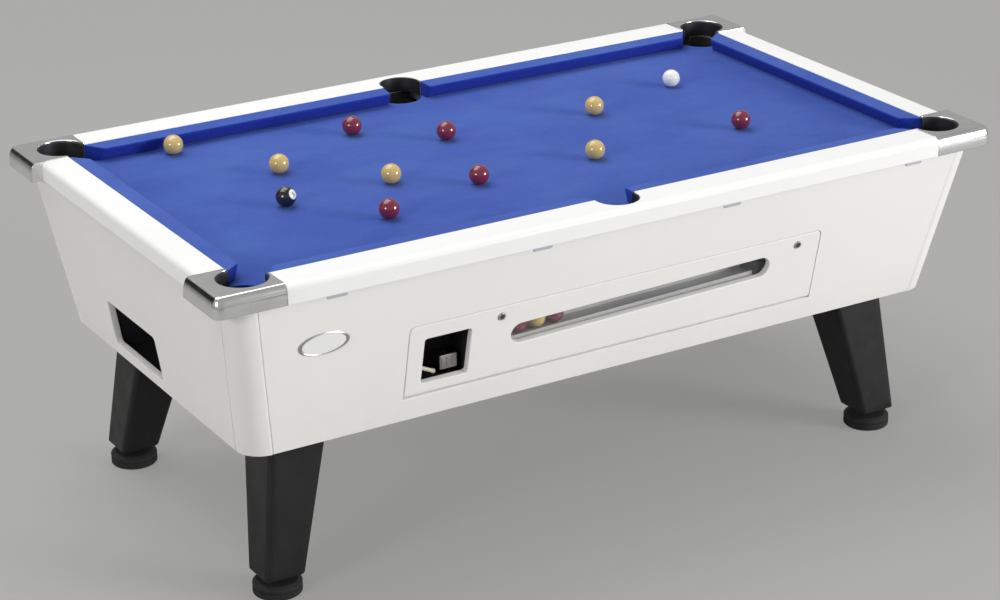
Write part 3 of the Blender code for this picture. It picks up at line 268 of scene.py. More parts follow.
def raised(plan, height):
    """Rows of points in plan, carried to their heights."""
    return np.concatenate([plan, np.broadcast_to(height, (*plan.shape[:2], 1))], axis=2)


def quads(*corners):
    """Faces from four arrays of point numbers, one array for each corner."""
    return np.stack(corners, axis=-1).reshape(-1, 4).tolist()


def numbered(rows, count, start=0):
    """Point numbers of a row of closed outlines, and the number of the point beside each."""
    index = start + np.arange(rows * count).reshape(rows, count)
    return index, np.roll(index, -1, axis=1)


def sheet_of(points, turned_over=False):
    """Open sheet over a grid of points."""
    index = np.arange(points.shape[0] * points.shape[1]).reshape(points.shape[:2])
    corners = (index[:-1, :-1], index[1:, :-1], index[1:, 1:], index[:-1, 1:])
    return points.reshape(-1, 3), quads(*(corners[::-1] if turned_over else corners))


def loft(rings, wrap=False):
    """Skin of quads over a row of closed outlines; flat faces close its ends, or the row wraps round."""
    index, beside = numbered(*rings.shape[:2])
    if wrap:
        faces = quads(index, beside, np.roll(beside, -1, axis=0), np.roll(index, -1, axis=0))
    else:
        faces = quads(index[:-1], beside[:-1], beside[1:], index[1:])
        faces += [index[0, ::-1].tolist(), index[-1].tolist()]
    return rings.reshape(-1, 3), faces


def lathe(profile, segments):
    """Turned shape: a profile's radii and heights are carried round the upright axis; its ends are points."""
    radius, height = profile[1:-1].T[:, :, None, None]
    rings = raised(radius * circle(segments), height)
    index, beside = numbered(len(rings), segments, 1)
    faces = quads(index[:-1], beside[:-1], beside[1:], index[1:])
    first = np.stack((0 * index[0], beside[0], index[0]), axis=-1).tolist()
    last = np.stack((0 * index[0] + index.size + 1, index[-1], beside[-1]), axis=-1).tolist()
    poles = np.array([[0.0, 0.0, profile[0, 1]], [0.0, 0.0, profile[-1, 1]]])
    return np.concatenate([poles[:1], rings.reshape(-1, 3), poles[1:]]), faces + first + last


def turned(corners, segments, steps=4):
    """Turned shape from the corners of its profile, axis to axis: the radius, height and rounding of each."""
    corners = np.array(corners, float)
    closed = rounded(corners[:, :2], np.maximum(corners[:, 2], 1e-5), steps)
    per_corner = steps + 3
    profile = np.concatenate([corners[:1, :2], closed[per_corner:-per_corner], corners[-1:, :2]])
    return lathe(profile, segments)


def sphere(radius, rows=32, segments=56):
    """Sphere turned from a half circle."""
    return lathe(arc((0.0, 0.0), radius, 90, -90, rows), segments)


def block(low, high, radius, steps=3):
    """Box with rounded edges: rounded plan outlines, drawn in towards both ends by a quarter circle."""
    low, high = np.array(low), np.array(high)
    plan = box_outline(low[0], high[0], low[1], high[1], radius * 1.5, steps)
    middle, half = (low[:2] + high[:2]) / 2, (high[:2] - low[:2]) / 2
    rise, fall = quarter(steps)
    share = 1 - radius * np.concatenate([rise, rise[::-1]])[:, None] / half
    height = np.concatenate([low[2] + radius * fall, high[2] - radius * fall[::-1]])
    return loft(raised(middle + (plan - middle) * share[:, None, :], height[:, None, None]))


def moved(part, matrix):
    """The part carried by a matrix."""
    points, faces = part
    matrix = np.array(matrix)
    return points @ matrix[:3, :3].T + matrix[:3, 3], faces


def mirrored(part, sign_x, sign_y):
    """The part carried to another quarter of the table."""
    return part[0] * np.array([sign_x, sign_y, 1.0]), part[1]


def inward_of(loop, radius):
    """Offsets that carry a closed outline inwards by the radius at each of its points.

    On a bend the offset follows both sides' mean normal, lengthened so that each side keeps its distance.
    At a corner it leads to where the two moved sides cross, each side with its far point's radius.
    """
    before, after = loop - np.roll(loop, 1, axis=0), np.roll(loop, -1, axis=0) - loop
    n, m = left_of(unit(before)), left_of(unit(after))
    cross = n[:, 0] * m[:, 1] - n[:, 1] * m[:, 0]
    at_corner = np.abs(cross) > 0.5
    soft = (n + m) / (1 + (n * m).sum(1, keepdims=True)) * radius[:, None]
    r, q = np.roll(radius, 1), np.roll(radius, -1)
    hard = np.stack([r * m[:, 1] - q * n[:, 1], q * n[:, 0] - r * m[:, 0]], axis=1)
    hard /= np.where(at_corner, cross, 1.0)[:, None]
    return np.where(at_corner[:, None], hard, soft)


def filled(points, edges):
    """Triangles between closed outlines.

    Of a triangulation that keeps the edges, those stay whose middle lies inside: a level line from it to
    the right crosses an odd number of edges.
    """
    flat = points.astype(np.float32).astype(float)
    found = delaunay_2d_cdt([Vector(p) for p in flat], edges.tolist(), [], 0, 1e-7)
    triangles = np.array([o[0] for o in found[3]])[np.array(found[2])]
    x, y = flat[triangles].mean(axis=1).T[:, :, None]
    (ax, ay), (bx, by) = flat[edges[:, 0]].T, flat[edges[:, 1]].T
    level = np.where(ay == by, 1.0, by - ay)
    crossed = ((ay > y) != (by > y)) & (ax + (bx - ax) * (y - ay) / level > x)
    return triangles[crossed.sum(axis=1) % 2 == 1]


def slab(loops, radii, thickness, steps=3, seam=None):
    """Board with holes and round edges, front face at w = 0 and back face at w = -thickness.

    Each loop is carried through the thickness on quarter circles of its own radius. The first loop is the
    outline, anticlockwise; the others are holes, clockwise, so the board lies to the left of all of them.
    The two faces are filled with triangles between the innermost rings. A seam adds a ring at its depth,
    where the finish can change. Returns the points, the faces and the loop of each point.
    """
    inset, fall = (np.concatenate([q, q[::-1]])[:, None] for q in quarter(steps))
    behind = np.arange(len(fall))[:, None] > steps
    if seam:
        inset = np.insert(inset, steps + 1, 0.0, axis=0)
    points, faces, owner, fronts, backs, edges = [], [], [], [], [], []
    start = on_face = 0
    for number, (loop, radius) in enumerate(zip(loops, radii)):
        radius = np.broadcast_to(np.asarray(radius, float), len(loop))
        depth = np.where(behind, -thickness + fall * radius, -fall * radius)
        if seam:
            depth = np.insert(depth, steps + 1, -seam, axis=0)
        rings = raised(loop + inward_of(loop, radius) * inset[..., None], depth[..., None])
        index, beside = numbered(len(rings), len(loop), start)
        faces += quads(index[:-1], index[1:], beside[1:], beside[:-1])
        points.append(rings.reshape(-1, 3))
        owner.append(np.full(index.size, number))
        fronts.append(index[0])
        backs.append(index[-1])
        edges.append(np.stack(numbered(1, len(loop), on_face), axis=-1)[0])
        start += index.size
        on_face += len(loop)
    points, owner, front, back, edges = map(np.concatenate, (points, owner, fronts, backs, edges))
    triangles = filled(points[front, :2], edges)
    return points, faces + front[triangles].tolist() + back[triangles[:, ::-1]].tolist(), owner


# Pieces

def add_object(name, data):
    """A new object in the scene."""
    obj = bpy.data.objects.new(name, data)
    bpy.context.scene.collection.objects.link(obj)
    return obj


def piece(name, parts, finishes, nodes=(), slot=None, body="cabinet", sharp=38.0, edge=None, inside=None,
          flats=False):
    """A named piece made of parts, each points and faces, with its finishes; it rides on a body.

    edge marks the points along edges for wear, inside lists the faces that look into the cabinet, and flats
    is set for a board, whose two faces are triangles.
    """
    if isinstance(finishes, str):
        finishes = [finishes] * len(parts)
    points = np.concatenate([p[0] for p in parts])
    offsets = np.cumsum([0] + [len(p[0]) for p in parts])
    faces = [[i + int(o) for i in f] for p, o in zip(parts, offsets) for f in p[1]]
    mesh = bpy.data.meshes.new(name)
    mesh.from_pydata(points.tolist(), [], faces)
    kinds = list(dict.fromkeys(finishes))
    for kind in kinds:
        mesh.materials.append(finish(kind))
    chosen = np.repeat([kinds.index(k) for k in finishes], [len(p[1]) for p in parts])
    # Faces that look into the cabinet take a near-black board: painted shade of the closed inside.
    if inside is not None:
        mesh.materials.append(finish("inner_board_painted_shade"))
        chosen[inside] = len(kinds)
    mesh.polygons.foreach_set("material_index", chosen.astype(np.int32))
    if edge is not None:
        mesh.attributes.new("edge", "FLOAT", "POINT").data.foreach_set("value", np.asarray(edge, np.float32))
    outward(mesh)
    mesh.shade_smooth()
    mesh.set_sharp_from_angle(angle=math.radians(sharp))
    if flats:
        keep_flat(mesh)
    obj = add_object(name, mesh)
    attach(obj, body)
    if nodes:
        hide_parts(*nodes)
    return obj


def copies(places, name, parts, kind, node_name, slot, body="cabinet", **more):
    """One piece at each of several mirrored places; braces in the names stand for the place's name."""
    for place, sign_x, sign_y in places:
        there = [mirrored(p, sign_x, sign_y) for p in parts]
        piece(name.format(place), there, kind, [node_name.format(place)], slot, body.format(place), **more)


def keep_flat(mesh):
    """Mark as sharp the edges where a board's triangles meet its rounded rim, so its faces shade flat."""
    edges = np.empty(len(mesh.loops), np.int32)
    mesh.loops.foreach_get("edge_index", edges)
    sides = np.empty(len(mesh.polygons), np.int32)
    mesh.polygons.foreach_get("loop_total", sides)
    border = np.bincount(edges, np.repeat(sides == 3, sides), len(mesh.edges)) == 1
    sharp = np.empty(len(mesh.edges), bool)
    mesh.edges.foreach_get("use_edge_sharp", sharp)
    mesh.edges.foreach_set("use_edge_sharp", sharp | border)


def outward(mesh):
    """Turn the faces of closed parts outwards; an open sheet keeps its own order."""
    shape = bmesh.new()
    shape.from_mesh(mesh)
    if all(e.is_manifold for e in shape.edges):
        bmesh.ops.recalc_face_normals(shape, faces=shape.faces)
    shape.to_mesh(mesh)
    shape.free()


def dress(kind, *names):
    """Give CAD nodes their finish."""
    for name in names:
        for place in NODES[name].material_slots:
            place.material = finish(kind)


# Nodes

def feed(tree, socket, value):
    """Link an input to another node's socket, or set its value; a colour may come without alpha."""
    if isinstance(value, bpy.types.NodeSocket):
        tree.links.new(value, socket)
    else:
        socket.default_value = (*value[:3], 1.0) if socket.type == "RGBA" else value


def plug(tree, shader, **inputs):
    """Set or link inputs of a node, named with underscores for spaces, or i and a number."""
    for key, value in inputs.items():
        counted = key[0] == "i" and key[1:].isdigit()
        feed(tree, shader.inputs[int(key[1:]) if counted else key.replace("_", " ")], value)


def node(tree, kind, settings=None, **inputs):
    """Add a node; an input is a value or another node's socket."""
    made = tree.nodes.new(kind)
    for key, value in (settings or {}).items():
        setattr(made, key, value)
    plug(tree, made, **inputs)
    return made


def operate(tree, kind, operation, values):
    """Add a node of arithmetic, its inputs in order."""
    return node(tree, kind, {"operation": operation}, **{f"i{i}": v for i, v in enumerate(values)}).outputs


def calc(tree, operation, *values):
    """Arithmetic on values."""
    return operate(tree, "ShaderNodeMath", operation, values)[0]


def times(tree, first, second):
    """Product of two values."""
    return calc(tree, "MULTIPLY", first, second)


def plus(tree, first, second):
    """Sum of two values."""
    return calc(tree, "ADD", first, second)


def vector(tree, operation, *values):
    """Arithmetic on vectors."""
    output = "Value" if operation in ("DOT_PRODUCT", "LENGTH") else "Vector"
    return operate(tree, "ShaderNodeVectorMath", operation, values)[output]


def mix(tree, factor, first, second, blend="MIX"):
    """Blend of two colours."""
    return node(tree, "ShaderNodeMix", {"data_type": "RGBA", "blend_type": blend}, i0=factor, i6=first,
                i7=second).outputs[2]


def marked(tree, tone, mask, share, colour_there):
    """The tone, blended towards another colour by a share of a mask."""
    return mix(tree, times(tree, mask, share), tone, colour_there)


def span(tree, value, low, high, to_low=0.0, to_high=1.0):
    """Carry a value from one range to another, held at its ends."""
    return node(tree, "ShaderNodeMapRange", Value=value, From_Min=low, From_Max=high, To_Min=to_low,
                To_Max=to_high).outputs["Result"]


def noise(tree, vector_in, scale, detail=4.0, roughness=0.55):
    """Fractal noise between 0 and 1."""
    return node(tree, "ShaderNodeTexNoise", Vector=vector_in, Scale=scale, Detail=detail,
                Roughness=roughness).outputs["Fac"]


def axis(tree, vector_in, letter):
    """One part of a vector: X, Y or Z."""
    return node(tree, "ShaderNodeSeparateXYZ", Vector=vector_in).outputs[letter]


def scaled(tint, share):
    """A colour times a number, held at 1."""
    return tuple(min(1, share * c) for c in tint)


# Effects shared by the finishes

def shared(name, inputs, outputs):
    """The effect's node group, its inputs and its outputs; the last two are None if it was made before."""
    if name in bpy.data.node_groups:
        return bpy.data.node_groups[name], None, None
    tree = bpy.data.node_groups.new(name, "ShaderNodeTree")
    for way, sockets in (("INPUT", inputs), ("OUTPUT", outputs)):
        for label, kind in sockets.items():
            tree.interface.new_socket(label, in_out=way, socket_type="NodeSocket" + kind)
    return tree, tree.nodes.new("NodeGroupInput").outputs, tree.nodes.new("NodeGroupOutput").inputs


def placed(tree, group, **inputs):
    """A group's node in a material."""
    return node(tree, "ShaderNodeGroup", {"node_tree": group}, **inputs).outputs


def mottled(tree, place, tint, shade, scale, amount):
    """Slow and fine variation of a colour: two noises, summed, blend the colour towards a shade."""
    group, given, out = shared("surface_mottle", {"Vector": "Vector", "Colour": "Color", "Shade": "Color",
                                                  "Scale": "Float", "Amount": "Float"},
                               {"Colour": "Color", "Mask": "Float"})
    if given:
        slow = noise(group, given["Vector"], given["Scale"], 5.0)
        fine = noise(group, given["Vector"], times(group, given["Scale"], 9.0), 3.0, 0.7)
        mask = span(group, plus(group, times(group, slow, 0.65), times(group, fine, 0.35)), 0.38, 0.66)
        feed(group, out["Colour"], marked(group, given["Colour"], mask, given["Amount"], given["Shade"]))
        feed(group, out["Mask"], mask)
    return placed(tree, group, Vector=place, Colour=tint, Shade=shade, Scale=scale, Amount=amount)


def scuffed(tree, place, streak, scale, level):
    """Thin scratches and rubbed spots: streaked noise above a level, broken up by a slower noise."""
    group, given, out = shared("light_scuffs", {"Vector": "Vector", "Streak": "Vector", "Scale": "Float",
                                                "Level": "Float"}, {"Mask": "Float", "Streaks": "Float"})
    if given:
        streaked = vector(group, "MULTIPLY", given["Vector"], given["Streak"])
        lines = noise(group, streaked, given["Scale"], 4.0, 0.65)
        where = noise(group, given["Vector"], 3.7, 3.0)
        above = span(group, calc(group, "SUBTRACT", lines, given["Level"]), 0.0, 0.05)
        feed(group, out["Mask"], times(group, above, span(group, where, 0.45, 0.65)))
        feed(group, out["Streaks"], lines)
    return placed(tree, group, Vector=place, Streak=streak, Scale=scale, Level=level)


def rubbed(tree, place, scale):
    """Mask of wear along edges: the piece's edge mark, thinned by noise."""
    group, given, out = shared("rubbed_edge", {"Vector": "Vector", "Edge": "Float", "Scale": "Float"},
                               {"Mask": "Float"})
    if given:
        broken = span(group, noise(group, given["Vector"], given["Scale"], 6.0, 0.7), 0.42, 0.72)
        feed(group, out["Mask"], times(group, broken, given["Edge"]))
    mark = node(tree, "ShaderNodeAttribute", {"attribute_name": "edge"}).outputs["Fac"]
    return placed(tree, group, Vector=place, Edge=mark, Scale=scale)["Mask"]


def napped(tree, place, tint, scale, facing_up):
    """Woven wool with a nap: fibres along the table, cross threads, slow tracks of the nap, and chalk.

    Chalk and painted light: a pale share that grows as the surface faces up, leaving undersides in painted
    shade.
    """
    group, given, out = shared("cloth_nap", {"Vector": "Vector", "Colour": "Color", "Scale": "Float",
                                             "Facing up": "Float"}, {"Colour": "Color", "Height": "Float"})
    if given:
        def threads(stretch, size, detail, roughness=0.55):
            """Noise on coordinates that are stretched along one axis."""
            return noise(group, vector(group, "MULTIPLY", given["Vector"], stretch), size, detail, roughness)

        fibre = threads((0.22, 1.0, 1.0), given["Scale"], 3.0, 0.7)
        cross = threads((1.0, 0.3, 1.0), times(group, given["Scale"], 0.8), 2.0)
        slow = threads((0.6, 1.0, 1.0), 5.5, 5.0, 0.6)
        dust = span(group, noise(group, given["Vector"], 46.0, 6.0, 0.75), 0.62, 0.80)
        height = plus(group, fibre, times(group, cross, 0.7))
        shade = span(group, height, 0.6, 1.1, 0.0, 0.5)
        hue = mix(group, shade, given["Colour"], (0.0, 0.0, 0.0), "MULTIPLY")
        up = span(group, given["Facing up"], 0.0, 0.9)
        # Pale blue tone: chalk, and painted light on faces that point up; undersides such as the cushions'
        # undercut stay darker, as painted shade.
        chalk_and_painted_light = plus(group, span(group, slow, 0.36, 0.70, 0.10, 0.17),
                     span(group, fibre, 0.45, 0.8, 0.0, 0.08))
        light = marked(group, hue, up, chalk_and_painted_light, (0.24, 0.46, 0.80))
        feed(group, out["Colour"], marked(group, light, dust, times(group, up, 0.05), (0.7, 0.75, 0.85)))
        feed(group, out["Height"], height)
    return placed(tree, group, Vector=place, Colour=tint, Scale=scale, Facing_up=facing_up)


# Finishes

def material(name):
    """An empty material, its node tree, its shader and the object coordinates."""
    made = bpy.data.materials.new(name)
    made.use_nodes = True
    tree = made.node_tree
    return made, tree, tree.nodes["Principled BSDF"], tree.nodes.new("ShaderNodeTexCoord").outputs["Object"]


def bump(tree, shader, height, strength, distance):
    """Let a height bend the shader's normal."""
    relief = node(tree, "ShaderNodeBump", Height=height, Strength=strength, Distance=distance)
    plug(tree, shader, Normal=relief.outputs[0])


def laminate(tree, shader, place, tint, rough):
    """White laminate: faint pebble, slow shade, a little darker towards the bottom, and scuffs along the
    table.
    """
    base = mottled(tree, place, tint, scaled(tint, 0.95), scale=1.6, amount=0.5)
    marks = scuffed(tree, place, (0.12, 1.0, 1.0), scale=160.0, level=0.76)["Mask"]
    # Darker towards the bottom, below half a metre, broken up by the mottle.
    low = span(tree, axis(tree, place, "Z"), 0.50, 0.40)
    darker_low_down = times(tree, low, span(tree, base["Mask"], 0.2, 0.9, 0.15, 0.5))
    tone = marked(tree, base["Colour"], darker_low_down, 0.18, (0.42, 0.40, 0.36))
    tone = marked(tree, tone, marks, 0.06, (0.45, 0.45, 0.44))
    tone = marked(tree, tone, rubbed(tree, place, scale=38.0), 0.16, (0.55, 0.53, 0.49))
    gloss = span(tree, noise(tree, place, 7.0, 5.0), 0.3, 0.7, rough - 0.05, rough + 0.07)
    plug(tree, shader, Base_Color=tone, Roughness=plus(tree, gloss, times(tree, marks, 0.06)),
         Specular_IOR_Level=0.45)
    bump(tree, shader, noise(tree, place, 900.0, 2.0), strength=0.02, distance=0.0004)


def metal(tree, shader, place, tint, rough, streak, scale=210.0):
    """Satin metal: fine brush lines in one direction, cloudy polish and scratches."""
    base = mottled(tree, place, tint, scaled(tint, 0.80), scale=14.0, amount=0.6)
    lines = scuffed(tree, place, streak, scale, level=0.62)["Streaks"]
    tone = marked(tree, base["Colour"], rubbed(tree, place, scale=60.0), 0.5, scaled(tint, 1.3))
    gloss = span(tree, lines, 0.3, 0.7, rough * 0.7, rough * 1.4)
    gloss = plus(tree, gloss, times(tree, base["Mask"], 0.03))
    plug(tree, shader, Base_Color=tone, Roughness=gloss, Metallic=1.0)
    bump(tree, shader, lines, strength=0.10, distance=0.0003)


def plastic(tree, shader, place, tint, rough, grain=420.0, strength=0.18, lift=2.4):
    """Moulded plastic or lacquer: leather-like grain, dusty mottle and rubbed edges."""
    base = mottled(tree, place, tint, scaled(tint, lift), scale=9.0, amount=0.6)
    marks = scuffed(tree, place, (1.0, 1.0, 0.15), scale=120.0, level=0.66)["Mask"]
    tone = marked(tree, base["Colour"], marks, 0.35, (0.09, 0.09, 0.09))
    tone = marked(tree, tone, rubbed(tree, place, scale=70.0), 0.55, (0.10, 0.10, 0.098))
    gloss = span(tree, noise(tree, place, 18.0, 5.0), 0.3, 0.7, rough - 0.07, rough + 0.09)
    plug(tree, shader, Base_Color=tone, Roughness=gloss, Specular_IOR_Level=0.34)
    skin = node(tree, "ShaderNodeTexVoronoi", Vector=place, Scale=grain).outputs["Distance"]
    bump(tree, shader, skin, strength, distance=0.0004)


def wool(tree, shader, place, tint):
    """Napped wool cloth with sheen."""
    facing = node(tree, "ShaderNodeNewGeometry").outputs["Normal"]
    # How far the cloth faces up drives its painted light; undersides keep painted shade.
    nap = napped(tree, place, tint, scale=620.0, facing_up=axis(tree, facing, "Z"))
    plug(tree, shader, Base_Color=nap["Colour"], Roughness=0.92, Specular_IOR_Level=0.15, Sheen_Weight=0.10,
         Sheen_Roughness=0.45, Sheen_Tint=(0.55, 0.65, 1.0))
    bump(tree, shader, nap["Height"], strength=0.35, distance=0.0006)


def resin(tree, shader, place, tint, shade):
    """Polished cast resin: a trace of swirl, hairline scuffs and a clear gloss. Returns its colour."""
    tone = mottled(tree, place, tint, shade, scale=26.0, amount=0.4)["Colour"]
    marks = scuffed(tree, place, (1.0, 0.3, 1.0), scale=260.0, level=0.66)["Mask"]
    plug(tree, shader, Base_Color=tone, Roughness=plus(tree, 0.10, times(tree, marks, 0.18)), Coat_Weight=0.5,
         Coat_Roughness=0.05)
    return tone


def numbered_resin(tree, shader, place):
    """Black ball with a white disc and a black eight: rings about two points of the disc's plane."""
    black = resin(tree, shader, place, (0.010, 0.010, 0.012), (0.020, 0.020, 0.022))
    low, high = (Vector(c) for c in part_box("ball_black"))
    facing = Vector((0.42, -0.80, 0.43)).normalized()
    right = Vector((0, 0, 1)).cross(facing).normalized()
    away = vector(tree, "SUBTRACT", place, tuple((low + high) / 2))
    ways = (facing, right, facing.cross(right))
    out, across, rise = (vector(tree, "DOT_PRODUCT", away, tuple(way)) for way in ways)

    def ring(height, radius, width=0.0006, soft=0.0002):
        """Mask of a ring about a point at a height above the disc's middle."""
        apart = (calc(tree, "POWER", d, 2.0) for d in (across, calc(tree, "SUBTRACT", rise, height)))
        gap = calc(tree, "SUBTRACT", calc(tree, "SQRT", plus(tree, *apart)), radius)
        return span(tree, calc(tree, "ABSOLUTE", gap), width, width + soft, 1.0, 0.0)

    radius = (high[2] - low[2]) / 2
    disc = span(tree, out, radius * 0.868, radius * 0.874)
    eight = calc(tree, "MAXIMUM", ring(0.0026, 0.0024), ring(-0.0026, 0.0029))
    white = calc(tree, "SUBTRACT", 1.0, eight)
    plug(tree, shader, Base_Color=marked(tree, black, disc, white, (0.82, 0.81, 0.78)))


def board(tree, shader, place, tint, painted_shade_from=None):
    """Painted ply, grain along the table under thin paint; past a given place along it, black painted shade.
    """
    grain = noise(tree, vector(tree, "MULTIPLY", place, (1.0, 12.0, 12.0)), 14.0, 6.0, 0.65)
    base = mottled(tree, place, tint, scaled(tint, 0.8), scale=6.0, amount=0.6)
    tone = mix(tree, span(tree, grain, 0.35, 0.75, 0.0, 0.30), base["Colour"], scaled(tint, 0.6))
    if painted_shade_from is not None:
        # Past that place the board is black: painted shade standing for the dark inside beyond the slot's
        # end.
        beyond = span(tree, axis(tree, place, "X"), painted_shade_from, painted_shade_from + 0.002)
        tone = mix(tree, beyond, tone, (0.012, 0.012, 0.013))
    gloss = span(tree, grain, 0.3, 0.7, 0.5, 0.7)
    plug(tree, shader, Base_Color=tone, Roughness=gloss, Specular_IOR_Level=0.35)
    bump(tree, shader, grain, strength=0.15, distance=0.0006)


def slate(tree, shader, place):
    """Ground slate: cloudy grey with fine grinding marks."""
    base = mottled(tree, place, (0.13, 0.14, 0.16), (0.08, 0.085, 0.10), scale=8.0, amount=0.9)
    lines = scuffed(tree, place, (0.1, 1.0, 1.0), scale=300.0, level=0.6)["Streaks"]
    plug(tree, shader, Base_Color=base["Colour"], Roughness=span(tree, lines, 0.3, 0.7, 0.6, 0.8))
    bump(tree, shader, lines, strength=0.12, distance=0.0003)


def acrylic(tree, shader, place):
    """Clear acrylic: almost see-through, with faint smears and hairlines."""
    base = mottled(tree, place, (0.80, 0.84, 0.86), (0.70, 0.74, 0.76), scale=9.0, amount=0.7)
    marks = scuffed(tree, place, (0.2, 1.0, 1.0), scale=220.0, level=0.66)["Mask"]
    smear = span(tree, base["Mask"], 0.0, 1.0, 0.03, 0.06)
    gloss = span(tree, base["Mask"], 0.0, 1.0, 0.03, 0.10)
    plug(tree, shader, Base_Color=base["Colour"], Roughness=gloss,
         Alpha=plus(tree, smear, times(tree, marks, 0.10)))


def finish(kind):
    """The finish of that name, made once."""
    if kind in bpy.data.materials:
        return bpy.data.materials[kind]
    c = colours()
    upright = (1.0, 1.0, 0.08)
    recipe, *values = {
        "white_laminate": (laminate, c.laminate, 0.36),
        "white_rail": (laminate, c.rail, 0.34),
        "pale_enamel": (laminate, (0.86, 0.86, 0.85), 0.20),
        "zinc_paint": (laminate, (0.50, 0.52, 0.57), 0.34),
        "bright_metal": (metal, c.metal, 0.15, (0.05, 1.0, 1.0)),
        "bare_steel": (metal, c.steel, 0.30, upright, 380.0),
        "dark_steel": (metal, (0.16, 0.155, 0.15), 0.36, upright, 520.0),
        "slide_steel": (metal, (0.34, 0.32, 0.315), 0.34, upright, 380.0),
        "blue_cloth": (wool, c.cloth),
        "black_liner": (plastic, c.black, 0.46),
        "black_housing": (plastic, c.black, 0.50, 300.0, 0.25),
        "black_leg": (plastic, c.leg, 0.44, 260.0, 0.22, 1.8),
        "black_foot": (plastic, c.black, 0.72, 520.0, 0.2),
        "cream_plastic": (plastic, (0.62, 0.58, 0.47), 0.38, 520.0, 0.12, 0.86),
        "painted_board": (board, c.board),
        # Near-black board on faces that look into the cabinet: painted shade of its closed inside.
        "inner_board_painted_shade": (board, (0.030, 0.029, 0.028)),
        # Near-black deck: painted shade, so that the deck seen down the pockets stays dark.
        "deck_board_painted_shade": (board, (0.10, 0.10, 0.10)),
        # Grey tray that turns black past x = 0.412: painted shade beyond the slot's end.
        "tray_board_and_painted_shade": (board, (0.54, 0.54, 0.53), 0.412),
        "ground_slate": (slate,),
        "clear_window": (acrylic,),
        "yellow_ball": (resin, c.yellow, (0.52, 0.34, 0.09)),
        "red_ball": (resin, c.red, (0.15, 0.010, 0.024)),
        "white_ball": (resin, c.white, (0.76, 0.75, 0.71)),
        "black_ball": (numbered_resin,),
    }[kind]
    made, tree, shader, place = material(kind)
    recipe(tree, shader, place, *values)
    return made


# Rails, caps, liners, cushions, bed

def band(inner, outer, to_inner, to_outer, ledge, top, round_in, round_out, round_high, round_low):
    """Rail-like band between an inner and an outer edge in plan.

    At each station the section climbs the inner face, turns over a small round, crosses flat to the outer
    quarter ellipse, falls down the outer face to a small lower round, and steps up beside the slate at the
    ledge. Offsets are taken along each edge's own normal, and the end sections shrink a little towards their
    middle. Returns the part and the edge mark of its points.
    """
    low, seat = sizes().rail_low, sizes().rail_seat
    rise, fall = quarter(3)
    wide_rise, wide_fall = quarter(8)
    inside = np.concatenate([[[0.0, seat], [0.0, top - 2 * round_in]],
                             np.stack([round_in * fall, top - round_in * rise], 1),
                             [[1.05 * round_in, top]]])
    outside = np.concatenate([[[1.3 * round_out, top]],
                              np.stack([round_out * wide_rise, top - round_high * wide_fall], 1),
                              [[0.0, top - round_high - 0.3 * round_out], [0.0, low + 2 * round_low]],
                              np.stack([round_low * fall, low + round_low * rise], 1),
                              [[2 * round_low, low]]])
    plan = np.concatenate([inner[:, None] + to_inner[:, None] * inside[:, :1],
                           outer[:, None] + to_outer[:, None] * outside[:, :1],
                           ledge[:, None], ledge[:, None]], axis=1)
    height = np.concatenate([inside[:, 1], outside[:, 1], [low, seat]])
    rings = raised(plan, height[:, None])
    soft = 0.0012
    ease, draw = soft * fall[:, None, None], soft * rise[:, None, None]

    def end(section, beside):
        """An end section in rows, which draw in towards its middle on a quarter circle."""
        away = unit(section - section.mean(axis=1, keepdims=True))
        return section + unit(beside - section) * ease - away * draw

    rings = np.concatenate([end(rings[:1], rings[1:2]), rings[1:-1], end(rings[-1:], rings[-2:-1])[::-1]])
    first_out = len(inside)
    mark = np.zeros(len(height))
    mark[2:6] = 0.3
    mark[first_out + 4:first_out + 10] = 0.2
    mark[first_out + 12:first_out + 16] = 0.4
    return loft(rings), np.tile(mark, len(rings))


def make_rails():
    """The four rails; the inner edge of a long one runs straight, round the middle pocket and straight on.

    Near the pocket the stations stand closer, and on the outer edge they fan out over a longer stretch.
    """
    s = sizes()
    rounds = {"round_in": 0.0016, "round_out": s.rail_round, "round_high": s.rail_round, "round_low": 0.0015}
    drop = math.degrees(math.asin((s.inner_width - s.side_pocket_y) / s.side_pocket_radius))
    notch = arc((0.0, s.side_pocket_y), s.side_pocket_radius, 180 - drop, drop, 200)
    seam_x, seam_y = s.cap_seam_x - GAP, s.cap_seam_y - GAP
    path = eased(np.concatenate([[[-seam_x, s.inner_width]], notch, [[seam_x, s.inner_width]]]), 0.0078)
    run = along(path)
    reach, fan = s.side_pocket_radius + 0.064, s.side_pocket_radius + 0.044
    first, last = np.flatnonzero(np.abs(path[:, 0]) < reach)[[0, -1]]
    pick = np.unique(np.concatenate([np.linspace(0, first, 14), np.linspace(first, last, 300),
                                     np.linspace(last, len(path) - 1, 14)]).astype(int))
    jaws = run[np.flatnonzero(path[:, 1] > s.inner_width + 0.001)[[0, -1]]]
    spread = np.interp(run[pick], [0, run[first], *jaws, run[last], run[-1]],
                       [-seam_x, -reach - 0.01, -fan, fan, reach + 0.01, seam_x])
    outer = np.stack([spread, np.full(len(pick), s.half_width)], axis=1)
    part, mark = band(path[pick], outer, normals(path)[pick], np.broadcast_to([0.0, -1.0], outer.shape),
                      outer * [1, 0] + [0, s.slate_width + GAP], s.rail_top, **rounds)
    copies(SIDES, "rail_skin_{}", [part], "white_rail", "rail_{}", "rail", edge=mark)
    across = np.linspace(-seam_y, seam_y, 20)
    inner, outer, ledge = (np.stack([np.full(20, x), across], axis=1)
                           for x in (s.inner_length, s.half_length, s.slate_length + GAP))
    to_inner, to_outer = (np.broadcast_to([x, 0.0], inner.shape) for x in (1.0, -1.0))
    part, mark = band(inner, outer, to_inner, to_outer, ledge, s.rail_top, **rounds)
    copies(ENDS, "rail_skin_{}", [part], "white_rail", "rail_{}", "rail", edge=mark)


